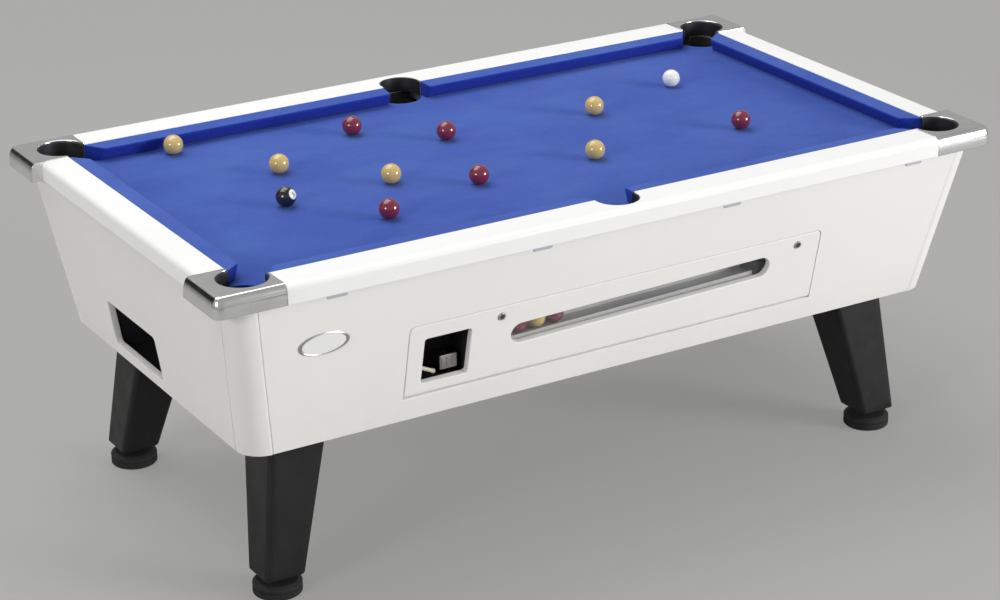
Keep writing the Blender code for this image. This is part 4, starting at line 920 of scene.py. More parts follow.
def corner_jaws(margin=0.0):
    """Angles between which a corner pocket's circle lies beyond the rails' inner faces, moved by a margin."""
    s = sizes()
    radius = s.corner_pocket_radius
    return (180 - math.degrees(math.asin((s.inner_width + margin - s.corner_pocket_y) / radius)),
            -math.degrees(math.acos((s.inner_length + margin - s.corner_pocket_x) / radius)))


def make_caps():
    """The four metal caps: a band from the pocket's edge to the rounded corner, past the end rail."""
    s = sizes()

    def edge(x, y, bend, spread):
        """A cap's edge in plan, from the long rail's seam round a bend to the end rail's seam."""
        return eased(np.concatenate([[[s.cap_seam_x, y]], bend, [[x, s.cap_seam_y]]]), spread)

    def corner(x, y, radius, steps):
        """An edge with a round corner."""
        return edge(x, y, arc((x - radius, y - radius), radius, 90, 0, steps), 0.002)

    pocket = arc((s.corner_pocket_x, s.corner_pocket_y), s.corner_pocket_radius, *corner_jaws(), 200)
    share = np.linspace(0, 1, 200)
    gathered = np.interp(share, [0, 0.22, 0.78, 1], [0, 0.05, 0.95, 1])
    inner, to_inner = stations(edge(s.inner_length, s.inner_width, pocket, 0.0060), share)
    outer, to_outer = stations(corner(s.cap_end, s.half_width, s.cap_corner, 80), gathered)
    ledge, _ = stations(corner(s.slate_length + GAP, s.slate_width + GAP, 0.004, 12), gathered)
    part, mark = band(inner, outer, to_inner, -to_outer, ledge, s.cap_top, round_in=0.0018, round_out=0.016,
                      round_high=s.cap_round, round_low=0.002)
    copies(CORNERS, "cap_{}", [part], "bright_metal", "corner_cap_{}", "cap_metal", edge=mark)


def liner(centre, radius, first, last, steps):
    """Pocket liner: a thin strip with a round lip, bent to the pocket's circle, and a funnel below."""
    s = sizes()
    low, high, foot = s.cloth_top - 0.0007, s.rail_top - 0.002, s.cloth_top - 0.075
    half = (s.liner_thickness - GAP) / 2
    lip = np.linspace(0, math.pi, 9)
    lip = np.stack([-GAP - half + half * np.cos(lip), high - half + half * np.sin(lip)], axis=1)
    section = np.concatenate([[[-GAP, low]], lip, [[-s.liner_thickness, low]]])
    rim, throat, wall, shoulder = 0.0470, 0.0360, 0.0025, low - 0.0205
    funnel = np.array([[throat, foot], [rim, shoulder], [rim - wall, shoulder], [throat - wall, foot]])

    def bent(ways, outline):
        """An outline of radius and height carried round the pocket's centre."""
        return raised(np.asarray(centre) + ways[:, None] * outline[:, :1], outline[:, 1:])

    return [loft(bent(arc((0.0, 0.0), 1.0, first, last, steps), section + [radius, 0.0])),
            loft(bent(circle(72), funnel), wrap=True)]


def make_liners():
    """Black liners in the six pockets."""
    s = sizes()
    margin = -0.0022
    parts = liner((s.corner_pocket_x, s.corner_pocket_y), s.corner_pocket_radius, *corner_jaws(margin), 60)
    copies(CORNERS, "liner_{}", parts, "black_liner", "pocket_liner_{}", "liner")
    drop = math.degrees(math.asin((s.inner_width + margin - s.side_pocket_y) / s.side_pocket_radius))
    parts = liner((0.0, s.side_pocket_y), s.side_pocket_radius, drop, 180 - drop, 48)
    copies(SIDES, "liner_{}_middle", parts, "black_liner", "pocket_liner_{}_middle", "liner")


def cushion(first, last, jaw_first, jaw_last, matrix):
    """Cushion strip: a rounded section carried along x, its ends cut at a slant and rounded over.

    The section's nose points to -y. At each end the outline shrinks towards its middle on a quarter circle.
    """
    s = sizes()
    width, rows, soft = s.cushion_width, 20, 0.0035
    top, foot = s.rail_top - 0.002, s.cloth_top + GAP
    nose_low, nose_high, undercut = s.cloth_top + 0.02975, s.cloth_top + 0.03625, 0.031
    section = rounded([(0.0, foot), (undercut, foot), (width, nose_low), (width, nose_high), (0.0, top)],
                      [0.0006, 0.004, 0.0028, 0.0030, 0.0012], 5)
    rise, fall = quarter(4)
    inset = soft * np.concatenate([rise, np.zeros(rows), rise[::-1]])
    away = section - section.mean(axis=0)
    reach = np.linalg.norm(away, axis=1, keepdims=True)
    shape = section.mean(axis=0) + away * (1 - inset[:, None, None] / reach)
    share = shape[:, :, :1] / width
    start, end = first + jaw_first * share, last - jaw_last * share
    ends = soft * fall[:, None, None]
    middle = slice(len(rise), len(rise) + rows)
    steps = np.linspace(0.01, 0.99, rows)[:, None, None]
    place = np.concatenate([start[:middle.start] + ends, start[middle] + (end - start)[middle] * steps,
                            end[middle.stop:] - ends[::-1]])
    return moved(loft(np.concatenate([place, -shape[:, :, :1], shape[:, :, 1:]], axis=2)), matrix)


def make_cushions():
    """Six cloth-covered rubber strips along the rails."""
    s = sizes()
    margin = 0.001
    radius = s.corner_pocket_radius
    far = s.corner_pocket_x - math.sqrt(radius ** 2 - (s.inner_width - s.corner_pocket_y) ** 2) - margin
    end = s.corner_pocket_y - math.sqrt(radius ** 2 - (s.inner_length - s.corner_pocket_x) ** 2) - margin
    near = math.sqrt(s.side_pocket_radius ** 2 - (s.side_pocket_y - s.inner_width) ** 2) + margin
    right, left = (near, far, s.side_jaw, s.corner_jaw), (-far, -near, s.corner_jaw, s.side_jaw)
    across = (-end, end, s.corner_jaw, s.corner_jaw)
    side = Matrix.Translation((0, s.inner_width - GAP, 0))
    over = Matrix.Translation((0, s.inner_length - GAP, 0))
    half, quarter_turn = (Matrix.Rotation(a, 4, "Z") for a in (math.pi, math.pi / 2))
    for name, strip, matrix in (("back_right", right, side), ("back_left", left, side),
                                ("front_left", right, half @ side), ("front_right", left, half @ side),
                                ("left_end", across, quarter_turn @ over),
                                ("right_end", across, quarter_turn.inverted() @ over)):
        piece("cushion_skin_" + name, [cushion(*strip, matrix)], "blue_cloth", ["cushion_" + name], "cushion",
              sharp=60)


def make_bed():
    """The bed cloth, stretched over the slate and turned down into the six pockets.

    The sheet is a grid of x and v: y is v times the half width that is left at x, which drops to the pocket's
    circle where a pocket is. Strips then follow each circle down over the slate's edge on a small round.
    """
    s = sizes()
    dress("ground_slate", "slate_bed")
    wide, long = s.inner_width - GAP, s.inner_length - GAP
    side, corner = s.side_pocket_radius, s.corner_pocket_radius
    reach = math.sqrt(side ** 2 - (s.side_pocket_y - wide) ** 2)
    open_from = s.corner_pocket_x - math.sqrt(corner ** 2 - (wide - s.corner_pocket_y) ** 2)
    at_middle = reach * np.sin(np.linspace(-math.pi / 2, math.pi / 2, 41))
    corner_x = s.corner_pocket_x + corner * np.cos(np.radians(np.linspace(180, 360, 60)))
    corner_x = corner_x[(corner_x > open_from) & (corner_x < long)]
    right = np.concatenate([np.linspace(reach, open_from, 40)[1:], corner_x, [long]])
    x = np.concatenate([-right[::-1], at_middle, right])
    size = np.abs(x)
    limit = np.full(len(x), wide)
    at_side, at_corner = size <= reach + 1e-9, size >= open_from - 1e-9
    limit[at_side] = s.side_pocket_y - np.sqrt(side ** 2 - size[at_side] ** 2)
    limit[at_corner] = s.corner_pocket_y - np.sqrt(
        np.maximum(corner ** 2 - (size[at_corner] - s.corner_pocket_x) ** 2, 0))
    v = np.linspace(-1, 1, 41)
    parts = [sheet_of(raised(np.stack([x[:, None] + 0 * v, limit[:, None] * v], axis=2), s.cloth_top))]
    ends = np.flatnonzero(at_corner)
    fold, half_way, flap, end_flap = 0.0012, 0.008, 0.0165, 0.010
    turn = np.linspace(0, math.pi / 2, 5)
    over = np.concatenate([fold * np.sin(turn), [fold, fold]])[:, None]
    down = np.concatenate([fold * (1 - np.cos(turn)), [half_way, flap]])[:, None]
    for which, middle in ((np.flatnonzero(at_side), (0.0, s.side_pocket_y)),
                          (ends[ends > len(x) / 2], (s.corner_pocket_x, s.corner_pocket_y)),
                          (ends[ends < len(x) / 2], (-s.corner_pocket_x, s.corner_pocket_y))):
        for sign in (1, -1):
            edge = np.stack([x[which], sign * limit[which]], axis=1)
            to_pocket = unit(np.array([middle[0], sign * middle[1]]) - edge)
            strip = raised(edge[:, None] + to_pocket[:, None] * over, s.cloth_top - down)
            parts.append(sheet_of(strip, turned_over=sign < 0))
    cloth = piece("bed_cloth_sheet", parts, "blue_cloth", ["bed_cloth"], "cloth", sharp=70)
    shape = bmesh.new()
    shape.from_mesh(cloth.data)
    bmesh.ops.remove_doubles(shape, verts=shape.verts, dist=1e-6)
    area = sum(face.calc_area() for face in shape.faces)
    shape.to_mesh(cloth.data)
    shape.free()
    thick = cloth.modifiers.new("thickness", "SOLIDIFY")
    thick.thickness = s.cloth_thickness
    thick.offset = -1.0


# Cabinet

def leaning():
    """How far the ends and the long sides lean out per metre of height."""
    s = sizes()
    height = s.cabinet_high - s.cabinet_low
    return s.end_lean / height, s.side_lean / height


def lean_of(side):
    """Angle by which a side leans out."""
    lean_x, lean_y = leaning()
    return math.atan(lean_y if side in LONG_SIDES else lean_x)


def face_frame(side):
    """Frame of a leaning panel's outer face: x along it, y up it, z out of it."""
    s = sizes()
    turn = {"front": 0.0, "back": math.pi, "left_end": -math.pi / 2, "right_end": math.pi / 2}[side]
    out = s.cabinet_width if side in LONG_SIDES else s.cabinet_length
    return (Matrix.Rotation(turn, 4, "Z") @ Matrix.Translation((0, -out, s.cabinet_low))
            @ Matrix.Rotation(math.pi / 2 + lean_of(side), 4, "X"))


def panel(side, holes, hole_radii):
    """Leaning panel with rounded edges: upper and lower edges are level, and the ends follow the posts.

    Returns the part, the edge mark of its points and the faces that look into the cabinet.
    """
    s = sizes()
    lean_x, lean_y = leaning()
    angle, rise = lean_of(side), s.cabinet_high - s.cabinet_low
    across, half = (lean_x, s.cabinet_length) if side in LONG_SIDES else (lean_y, s.cabinet_width)
    half = half - s.post_radius - GAP
    high, splay = rise / math.cos(angle), across * rise
    outline = np.array([(-half, 0.0), (half, 0.0), (half + splay, high), (-half - splay, high)])
    thickness, seam, inner_from = s.wall * math.cos(angle), 0.0065, 0.006
    points, faces, owner = slab([outline] + holes, [s.edge_round] + hole_radii, thickness, 5, seam)
    points[owner == 0, 1] += points[owner == 0, 2] * math.tan(angle)
    w = points[:, 2]
    mark = np.where((np.abs(w) < thickness * 0.5) & (w < -1e-5), 0.8, 0.0)
    deep = (w < -thickness + 1e-6) | ((w < -inner_from) & (owner == 0))
    inside = np.flatnonzero([bool(deep[f].all()) for f in faces])
    return moved((points, faces), face_frame(side)), mark, inside


def hole_of(outline):
    """A hole's points run clockwise."""
    area = (outline[:, 0] * np.roll(outline[:, 1], -1) - np.roll(outline[:, 0], -1) * outline[:, 1]).sum()
    return outline if area < 0 else outline[::-1]


def door_outline(grow):
    """The door's outline: square lower corners and round upper ones, grown by a margin."""
    s = sizes()
    bend, steps = 0.012, 8
    half, low, high = s.door_half + grow, s.door_low - grow, s.door_low + s.door_height + grow
    corners = box_outline(-half, half, low, high, [1e-4, 1e-4, bend + grow, bend + grow], steps)
    foot = np.array([[-half, low], [half, low], [half, low + bend]])
    return np.concatenate([foot, corners[2 * (steps + 3):], foot[2:] * [-1, 1]])


def make_cabinet():
    """Four panels between four rounded posts, and the base board."""
    s = sizes()
    door_gap, mouth_bend = 0.002, 0.010
    low, high = ((z - s.cabinet_low) / math.cos(lean_of("left_end")) for z in RETURN_HEIGHTS)
    mouth = box_outline(*RETURN_ENDS, low, high, mouth_bend)
    holes = {"front": ([hole_of(door_outline(door_gap))], [0.001]), "left_end": ([hole_of(mouth)], [0.002]),
             "back": ([], []), "right_end": ([], [])}
    for side, (loops, radii) in holes.items():
        part, mark, inside = panel(side, loops, radii)
        piece("panel_skin_" + side, [part], "white_laminate", ["panel_" + side], "laminate", edge=mark,
              inside=inside, flats=True)
    steps, rows, seam = 24, 12, 0.002
    inner = s.post_radius - s.wall
    turn_out = arc((0, 0), s.post_radius, 0, 90, steps)
    turn_in = arc((0, 0), inner, 90, 0, steps)
    ring = np.concatenate([[[inner, 0.0], [s.post_radius - seam, 0.0]], turn_out[1:-1],
                           [[0.0, s.post_radius - seam], [0.0, inner]], turn_in[1:-1]])
    ring += [s.cabinet_length - s.post_radius, s.cabinet_width - s.post_radius]
    height = np.linspace(s.cabinet_low, s.cabinet_high, rows)[:, None, None]
    post = loft(raised(ring + (height - s.cabinet_low) * leaning(), height))
    count = len(ring)
    # The posts' inner faces take the near-black painted shade of the cabinet's inside.
    inside = np.flatnonzero(np.arange((rows - 1) * count) % count >= count - steps)
    copies(CORNERS, "post_skin_{}", [post], "white_laminate", "corner_post_{}", "laminate", inside=inside)
    dress("painted_board", "base_board")


def make_legs():
    """Four legs: rounded squares that shrink and move out towards the floor; and four turned feet."""
    s = sizes()
    foot_box, leg_box = (np.array(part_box(name)) for name in ("foot_back_right", "leg_back_right"))
    low_centre = (foot_box[0] + foot_box[1])[:2] / 2
    top_centre = leg_box[0][:2] + s.leg_top_size / 2
    low, high = leg_box[:, 2]
    soft, rows, unit_round = 0.003, 8, 0.2
    rise, fall = quarter(3)
    inset = np.concatenate([soft * rise, np.zeros(rows + 1)])[:, None, None]
    height = np.concatenate([low + soft * fall, np.linspace(low + 0.02, high - 0.02, rows), [high]])
    share = ((height - low) / (high - low))[:, None]
    half = ((s.leg_low_size + (s.leg_top_size - s.leg_low_size) * share) / 2)[:, None]
    centre = low_centre + (top_centre - low_centre) * share
    square = rounded([(-1, -1), (1, -1), (1, 1), (-1, 1)], unit_round, 6)
    spread = np.sign(square) * (1 - (1 - np.abs(square)) * (s.leg_round / unit_round) / half)
    leg = loft(raised(centre[:, None] + spread * (half - inset), height[:, None, None]))
    r = foot_box[1][0] - low_centre[0]
    foot = turned([(0, 0.1125, 0), (0.010, 0.1125, 0.001), (0.010, 0.0525, 0.0005), (0.018, 0.0525, 0.002),
                   (0.018, 0.034, 0.003), (r - 0.010, 0.034, 0.004), (r, 0.027, 0.003), (r, 0.020, 0.001),
                   (r - 0.003, 0.0185, 0.0006), (r - 0.003, 0.0165, 0.0006), (r, 0.015, 0.001),
                   (r, 0.003, 0.001), (r - 0.003, 0.0, 0.001), (0, 0.0, 0)], 64)
    foot = moved(foot, Matrix.Translation((*low_centre, 0.0)))
    for place in CORNERS:
        copies([place], "leg_skin_{}", [leg], "black_leg", "leg_{}", "leg")
        copies([place], "foot_skin_{}", [foot], "black_foot", "foot_{}", "foot", "{}_foot")


# Door and coin works

def slot_outline(length_of, height, centre, tilt, steps=24):
    """Long slot with round ends, turned about its middle."""
    reach = length_of / 2 - height / 2
    points = np.concatenate([arc((reach, 0), height / 2, -90, 90, steps),
                             arc((-reach, 0), height / 2, 90, 270, steps)])
    turn = np.array([[math.cos(tilt), -math.sin(tilt)], [math.sin(tilt), math.cos(tilt)]])
    return points @ turn.T + centre


def slot_height():
    """Height of the viewing slot's middle, up the leaning face."""
    s = sizes()
    return s.door_low + SLOT_SHARE * s.door_height


def make_door():
    """The drop-down door with its two openings and lock holes, the window behind it, and the two locks."""
    s = sizes()
    frame_of = face_frame("front")
    outline = door_outline(0.0)
    at_foot = np.abs(outline[:, 1] - s.door_low) < 0.001
    radius = np.where(at_foot, s.door_thickness / 2 - GAP, s.edge_round)
    recess_in, recess_up, recess_side, recess_bend = 0.042, 0.0325, 0.126, 0.008
    slot_length, slot_width = 0.750, 0.056
    lock_down, lock_in_left, lock_in_right, lock_bore, cam_reach = 0.0265, 0.247, 0.069, 0.010, 0.038
    left, low = -s.door_half + recess_in, s.door_low + recess_up
    recess = box_outline(left, left + recess_side, low, low + recess_side, recess_bend)
    slot = slot_outline(slot_length, slot_width, np.array([SLOT_MIDDLE, slot_height()]), SLOT_TILT)
    lock_height = s.door_low + s.door_height - lock_down
    locks = (("left", -s.door_half + lock_in_left, (-cam_reach, 0.0)),
             ("right", s.door_half - lock_in_right, (0.0, cam_reach)))
    bores = [arc((x, lock_height), lock_bore, 0, 360, 40)[:-1] for _, x, _ in locks]
    points, faces, _ = slab([outline] + [hole_of(h) for h in (recess, slot, *bores)],
                            [radius, 0.0015, 0.0022, 0.0006, 0.0006], s.door_thickness, 6)
    mark = np.where((points[:, 2] < -1e-5) & (points[:, 2] > -0.003), 0.8, 0.0)
    piece("door_skin", [moved((points, faces), frame_of)], "white_laminate", ["door_panel"], "laminate",
          "door", edge=mark, flats=True)
    dress("clear_window", "viewing_window")
    barrel = turned([(0, 0.0012, 0), (0.0066, 0.0012, 0.0003), (0.0072, 0.0030, 0.0004),
                     (0.0095, 0.0030, 0.0008), (0.0095, -0.0255, 0.0004), (0, -0.0255, 0)], 48)
    core = turned([(0, 0.0020, 0), (0.0064, 0.0020, 0.0005), (0.0064, 0.0002, 0.0002), (0, 0.0002, 0)], 40)
    keyway = block((-0.0006, -0.0034, 0.0013), (0.0006, 0.0034, 0.00215), 0.0001, 2)
    for name, x, (cam_from, cam_to) in locks:
        spot = frame_of @ Matrix.Translation((x, lock_height, 0.0))
        cam = block((cam_from, -0.007, -0.0252), (cam_to, 0.007, -0.0222), 0.0008)
        piece("lock_skin_" + name, [moved(p, spot) for p in (barrel, cam, core, keyway)],
              ["bare_steel", "bare_steel", "dark_steel", "black_housing"], ["lock_" + name], "steel",
              name + "_lock")


def make_coin_works():
    """The housing, the coin slide with its gate, and the reject lever in the recess.

    The slide is a row of rounded bars: knob, tongue, riser, two arms and the gate that drops before the tray.
    The lever is turned from a profile and lies at a slant.
    """
    dress("black_housing", "coin_housing")
    low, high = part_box("coin_slide")
    (left, front, foot), (right, back, top) = low, high
    bar, knob, knob_width, knob_height, tongue, soft = 0.010, 0.009, 0.048, 0.036, 0.020, 0.0008
    grip_in, grip_width, grip_pitch, grip_margin, grip_proud = 0.005, 0.0055, 0.0135, 0.006, 0.0011
    middle, level = left + knob_width / 2, foot + knob_height / 2
    gate_front, gate_back, gate_foot, gate_wall = -0.5115, -0.4675, 0.5541, 0.004
    bars = [block((left, front, foot), (left + knob_width, front + knob, foot + knob_height), 0.0018),
            block((middle - tongue, front + knob / 2, level - bar / 2),
                  (middle + tongue, back, level + bar / 2), soft),
            block((middle - bar / 2, back - bar, level), (middle + bar / 2, back, top), soft),
            block((middle, back - bar, top - bar), (right, back, top), soft),
            block((right - bar, gate_front, top - bar), (right, back - bar / 2, top), soft),
            block((right - gate_wall, gate_front, gate_foot), (right, gate_back, top - bar / 2), soft)]
    grip = [block((x, front - grip_proud, foot + grip_margin),
                  (x + grip_width, front + 0.001, foot + knob_height - grip_margin), 0.0004)
            for x in (left + grip_in + grip_pitch * i for i in range(3))]
    piece("coin_slide_skin", bars + grip, "slide_steel", ["coin_slide"], "steel", "slide")
    start, end = Vector((-0.5450, -0.5130, 0.5350)), Vector((-0.4990, -0.5150, 0.5140))
    way = end - start
    reach = way.length
    lever = turned([(0, 0, 0), (0.0062, 0, 0.0008), (0.0062, 0.004, 0.0005), (0.0050, 0.005, 0.0005),
                    (0.0050, reach - 0.007, 0.0005), (0.0060, reach - 0.006, 0.0005), (0.0060, reach, 0.004),
                    (0, reach, 0)], 32)
    aim = Matrix.Translation(start) @ way.to_track_quat("Z", "Y").to_matrix().to_4x4()
    piece("coin_reject_lever", [moved(lever, aim)], "cream_plastic")


def make_ball_path():
    """Deck, tray and run, and four potted balls that wait in the tray."""
    # The deck is near black, painted shade under the pockets.
    dress("deck_board_painted_shade", "ball_deck")
    # The tray's far end is black, painted shade.
    dress("tray_board_and_painted_shade", "ball_tray")
    dress("black_housing", "ball_run")
    s = sizes()
    upright = math.cos(lean_of("front"))
    level, slope = s.cabinet_low + slot_height() * upright, math.tan(SLOT_TILT) * upright
    first_x, spacing, y = -0.3073, 0.0509, -0.4905
    for number, kind in enumerate(("yellow", "red", "yellow", "red")):
        x = first_x + spacing * number
        place = Matrix.Translation((x, y, level + slope * (x - SLOT_MIDDLE) + GAP))
        piece(f"waiting_ball_{number + 1}", [moved(sphere(s.ball_radius), place)], kind + "_ball",
              slot="ball_" + kind)


# Balls and trim

def make_balls():
    """The twelve balls on the bed."""
    for name in sorted(NODES):
        first, _, rest = name.partition("_")
        kind = rest.split("_")[0]
        if first != "ball" or kind not in ("yellow", "red", "black", "white"):
            continue
        low, high = (np.array(c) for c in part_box(name))
        part = moved(sphere((high - low)[2] / 2), Matrix.Translation((low + high) / 2))
        body = "cue" if kind == "white" else rest
        piece(name + "_skin", [part], kind + "_ball", [name], "ball_" + kind, body)


def make_trim():
    """A bare oval plate on the front panel, and four small joint plates below the front rail.

    The oval is turned from a profile and stretched to an ellipse; the joint plates are flat slots in outline.
    """
    frame_of = face_frame("front")
    oval_at, oval_half = (-0.815, 0.2805, 0.0), (0.065, 0.030)
    joints_at, height, screw_out = (-0.79, -0.25, 0.29, 0.85), 0.4033, 0.018
    plate_length, plate_width, plate_thickness, plate_proud = 0.052, 0.009, 0.0016, 0.0014
    rim = turned([(0, -0.0002, 0), (1.0, -0.0002, 0.00008), (1.0, 0.0016, 0.0008), (0.93, 0.0030, 0.0008),
                  (0.88, 0.0016, 0.0004), (0, 0.0016, 0)], 96)
    field = turned([(0, 0.0012, 0), (0.87, 0.0012, 0.00008), (0.86, 0.0020, 0.0003), (0, 0.0024, 0)], 96)
    spot = frame_of @ Matrix.Translation(oval_at) @ Matrix.Diagonal((*oval_half, 1.0, 1.0))
    piece("oval_plate", [moved(rim, spot), moved(field, spot)], ["bare_steel", "pale_enamel"])
    screw = turned([(0, 0.0019, 0), (0.0020, 0.0019, 0.0004), (0.0026, 0.0014, 0.0002),
                    (0.0026, 0.0004, 0.0001), (0, 0.0004, 0)], 20)
    parts = []
    for x in joints_at:
        outline = slot_outline(plate_length, plate_width, np.array([x, height]), 0.0, 10)
        plate = slab([outline], [0.0004], plate_thickness, 2)[:2]
        parts.append(moved(plate, frame_of @ Matrix.Translation((0, 0, plate_proud))))
        for out in (-screw_out, screw_out):
            parts.append(moved(screw, frame_of @ Matrix.Translation((x + out, height, 0))))
    piece("joint_plates", parts, "zinc_paint")


# Stage

def make_floor(ground):
    """Pale floor that keeps the shadow near the table and fades to one even colour further out."""
    index, beside = numbered(6, 96)
    radius = np.array([0.0, 0.5, 1.5, 4.0, 12.0, 40.0])[:, None, None]
    mesh = bpy.data.meshes.new("floor")
    mesh.from_pydata(raised(radius * circle(96), -0.0002).reshape(-1, 3).tolist(), [],
                     quads(index[:-1], index[1:], beside[1:], beside[:-1]))
    made, tree, shader, place = material("studio_floor")
    base = mottled(tree, place, ground, scaled(ground, 0.97), scale=0.8, amount=0.5)
    plug(tree, shader, Base_Color=base["Colour"], Roughness=0.85, Specular_IOR_Level=0.1)
    plain = node(tree, "ShaderNodeEmission", Color=ground, Strength=1.0).outputs[0]
    seen = node(tree, "ShaderNodeLightPath").outputs["Is Camera Ray"]
    share = times(tree, seen, span(tree, vector(tree, "LENGTH", place), 2.2, 5.0, 0.5, 1.0))
    even = node(tree, "ShaderNodeMixShader", i0=share, i1=shader.outputs[0], i2=plain).outputs[0]
    plug(tree, tree.nodes["Material Output"], Surface=even)
    mesh.materials.append(made)
    floor = add_object("floor", mesh)


def make_world(ground):
    """Even room: the floor's colour to the eye and in mirrors, where one part is dark, and white light."""
    world = bpy.data.worlds.new("studio")
    bpy.context.scene.world = world
    world.use_nodes = True
    tree = world.node_tree
    tree.nodes.clear()
    rays = node(tree, "ShaderNodeLightPath").outputs
    seen = calc(tree, "MAXIMUM", calc(tree, "MAXIMUM", rays["Is Camera Ray"], rays["Is Glossy Ray"]),
                rays["Is Transmission Ray"])
    way = node(tree, "ShaderNodeTexCoord").outputs["Generated"]
    flag_way, flag_edge, flag_full = (-0.53, 0.80, 0.28), 0.93, 0.97
    near_flag = span(tree, vector(tree, "DOT_PRODUCT", way, flag_way), flag_edge, flag_full)
    room = marked(tree, ground, near_flag, rays["Is Glossy Ray"], (0.012, 0.012, 0.012))
    pale = node(tree, "ShaderNodeBackground", Color=room, Strength=1.0).outputs[0]
    light = node(tree, "ShaderNodeBackground", Color=(1.0, 1.0, 1.0), Strength=0.43).outputs[0]
    both = node(tree, "ShaderNodeMixShader", i0=seen, i1=light, i2=pale).outputs[0]
    node(tree, "ShaderNodeOutputWorld", Surface=both)


def make_lamps():
    """Three soft lamps: above, in front on the right, and on the left."""
    for name, spot, aim, size, power in (
            ("lamp_over", (-0.9, 2.3, 6.2), (0.0, 0.0, 0.6), (6.4, 4.6), 285.0),
            ("lamp_front", (6.6, -7.4, 2.9), (0.1, 0.0, 0.5), (3.8, 3.0), 700.0),
            ("lamp_left", (-8.0, -3.0, 3.5), (0.0, 0.0, 0.5), (2.6, 2.2), 195.0)):
        lamp = bpy.data.lights.new(name, "AREA")
        lamp.shape = "RECTANGLE"
        lamp.size, lamp.size_y = size
        lamp.energy = power
        holder = add_object(name, lamp)
        holder.location = spot
        holder.rotation_euler = (Vector(aim) - Vector(spot)).to_track_quat("-Z", "Y").to_euler()


def make_camera(settings):
    """Camera at its place, turned by azimuth and elevation and then rolled."""
    azimuth, elevation, roll = settings.camera_turn
    back = Vector((math.sin(azimuth) * math.cos(elevation), -math.cos(azimuth) * math.cos(elevation),
                   math.sin(elevation)))
    right = Vector((0, 0, 1)).cross(back).normalized()
    up = back.cross(right)
    axes = (right * math.cos(roll) + up * math.sin(roll), up * math.cos(roll) - right * math.sin(roll), back)
    camera = bpy.data.cameras.new("camera")
    camera.sensor_width = 36.0
    camera.sensor_fit = "HORIZONTAL"
    camera.lens = settings.lens
    camera.clip_end = 200.0
    holder = add_object("camera", camera)
    holder.matrix_world = Matrix.Translation(settings.camera_place) @ Matrix(axes).transposed().to_4x4()
    bpy.context.scene.camera = holder


def make_stage():
    """Floor, world, lamps and camera."""
    settings = bpy.context.scene.pool_table_stage
    bpy.context.scene.view_settings.view_transform = "Standard"
    make_floor(tuple(settings.ground))
    make_world(tuple(settings.ground))
    make_lamps()
    make_camera(settings)


# Operators and panel

class POOL_TABLE_OT_stage(bpy.types.Operator):
    """Set the floor, the world, the lamps and the camera."""
    bl_idname = "pool_table.stage"
    bl_label = "Stage"

    def execute(self, context):
        make_stage()
        return {"FINISHED"}


class POOL_TABLE_OT_cabinet(bpy.types.Operator):
    """Make the leaning panels and the rounded posts."""
    bl_idname = "pool_table.cabinet"
    bl_label = "Cabinet"

    def execute(self, context):
        make_cabinet()
        return {"FINISHED"}


class POOL_TABLE_OT_rails(bpy.types.Operator):
    """Make the four white rails."""
    bl_idname = "pool_table.rails"
    bl_label = "Rails"

    def execute(self, context):
        make_rails()
        return {"FINISHED"}


class POOL_TABLE_OT_caps(bpy.types.Operator):
    """Make the four metal corner caps."""
    bl_idname = "pool_table.caps"
    bl_label = "Corner caps"

    def execute(self, context):
        make_caps()
        return {"FINISHED"}


class POOL_TABLE_OT_liners(bpy.types.Operator):
    """Make the six black pocket liners."""
    bl_idname = "pool_table.liners"
    bl_label = "Pocket liners"

    def execute(self, context):
        make_liners()
        return {"FINISHED"}


class POOL_TABLE_OT_cushions(bpy.types.Operator):
    """Make the six cloth-covered cushions."""
    bl_idname = "pool_table.cushions"
    bl_label = "Cushions"

    def execute(self, context):
        make_cushions()
        return {"FINISHED"}


class POOL_TABLE_OT_bed(bpy.types.Operator):
    """Finish the slate and stretch the cloth over it."""
    bl_idname = "pool_table.bed"
    bl_label = "Bed"

    def execute(self, context):
        make_bed()
        return {"FINISHED"}


class POOL_TABLE_OT_legs(bpy.types.Operator):
    """Make the four legs and their levelling feet."""
    bl_idname = "pool_table.legs"
    bl_label = "Legs and feet"

    def execute(self, context):
        make_legs()
        return {"FINISHED"}


class POOL_TABLE_OT_door(bpy.types.Operator):
    """Make the drop-down door, its window and its locks."""
    bl_idname = "pool_table.door"
    bl_label = "Door"

    def execute(self, context):
        make_door()
        return {"FINISHED"}


class POOL_TABLE_OT_coin_works(bpy.types.Operator):
    """Finish the coin housing, and make the slide and the reject lever."""
    bl_idname = "pool_table.coin_works"
    bl_label = "Coin works"

    def execute(self, context):
        make_coin_works()
        return {"FINISHED"}


class POOL_TABLE_OT_ball_path(bpy.types.Operator):
    """Finish the deck, tray and run, and lay potted balls in the tray."""
    bl_idname = "pool_table.ball_path"
    bl_label = "Ball path"

    def execute(self, context):
        make_ball_path()
        return {"FINISHED"}


class POOL_TABLE_OT_balls(bpy.types.Operator):
    """Make the twelve balls on the bed."""
    bl_idname = "pool_table.balls"
    bl_label = "Balls"

    def execute(self, context):
        make_balls()
        return {"FINISHED"}


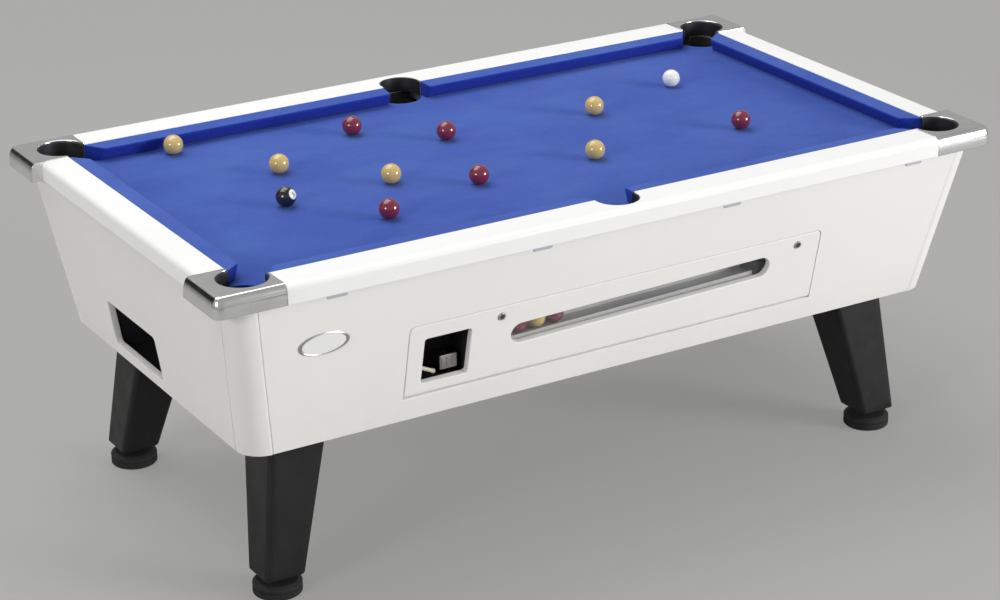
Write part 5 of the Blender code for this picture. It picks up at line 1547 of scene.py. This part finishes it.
class POOL_TABLE_OT_trim(bpy.types.Operator):
    """Make the oval plate and the joint plates below the front rail."""
    bl_idname = "pool_table.trim"
    bl_label = "Trim"

    def execute(self, context):
        make_trim()
        return {"FINISHED"}


OPERATORS = (POOL_TABLE_OT_stage,
             POOL_TABLE_OT_cabinet,
             POOL_TABLE_OT_rails,
             POOL_TABLE_OT_caps,
             POOL_TABLE_OT_liners,
             POOL_TABLE_OT_cushions,
             POOL_TABLE_OT_bed,
             POOL_TABLE_OT_legs,
             POOL_TABLE_OT_door,
             POOL_TABLE_OT_coin_works,
             POOL_TABLE_OT_ball_path,
             POOL_TABLE_OT_balls,
             POOL_TABLE_OT_trim)


class POOL_TABLE_PT_pieces(bpy.types.Panel):
    """Lists the operators that make the table."""
    bl_label = "Pool table"
    bl_idname = "POOL_TABLE_PT_pieces"
    bl_space_type = "VIEW_3D"
    bl_region_type = "UI"
    bl_category = "Pool table"

    def draw(self, context):
        for made in OPERATORS:
            self.layout.operator(made.bl_idname)


CLASSES = (PoolTableSizes, PoolTableColours, PoolTableStage, *OPERATORS, POOL_TABLE_PT_pieces)


def register():
    """Make the classes and the scene's settings known."""
    for kind in CLASSES:
        bpy.utils.register_class(kind)
    bpy.types.Scene.pool_table_sizes = PointerProperty(type=PoolTableSizes)
    bpy.types.Scene.pool_table_colours = PointerProperty(type=PoolTableColours)
    bpy.types.Scene.pool_table_stage = PointerProperty(type=PoolTableStage)


def unregister():
    """Take back what register did."""
    del bpy.types.Scene.pool_table_sizes, bpy.types.Scene.pool_table_colours, bpy.types.Scene.pool_table_stage
    for kind in reversed(CLASSES):
        bpy.utils.unregister_class(kind)


def main():
    """Make the table."""
    register()
    bpy.ops.pool_table.stage()
    bpy.ops.pool_table.cabinet()
    bpy.ops.pool_table.rails()
    bpy.ops.pool_table.caps()
    bpy.ops.pool_table.liners()
    bpy.ops.pool_table.cushions()
    bpy.ops.pool_table.bed()
    bpy.ops.pool_table.legs()
    bpy.ops.pool_table.door()
    bpy.ops.pool_table.coin_works()
    bpy.ops.pool_table.ball_path()
    bpy.ops.pool_table.balls()
    bpy.ops.pool_table.trim()


if __name__ == "__main__":
    main()
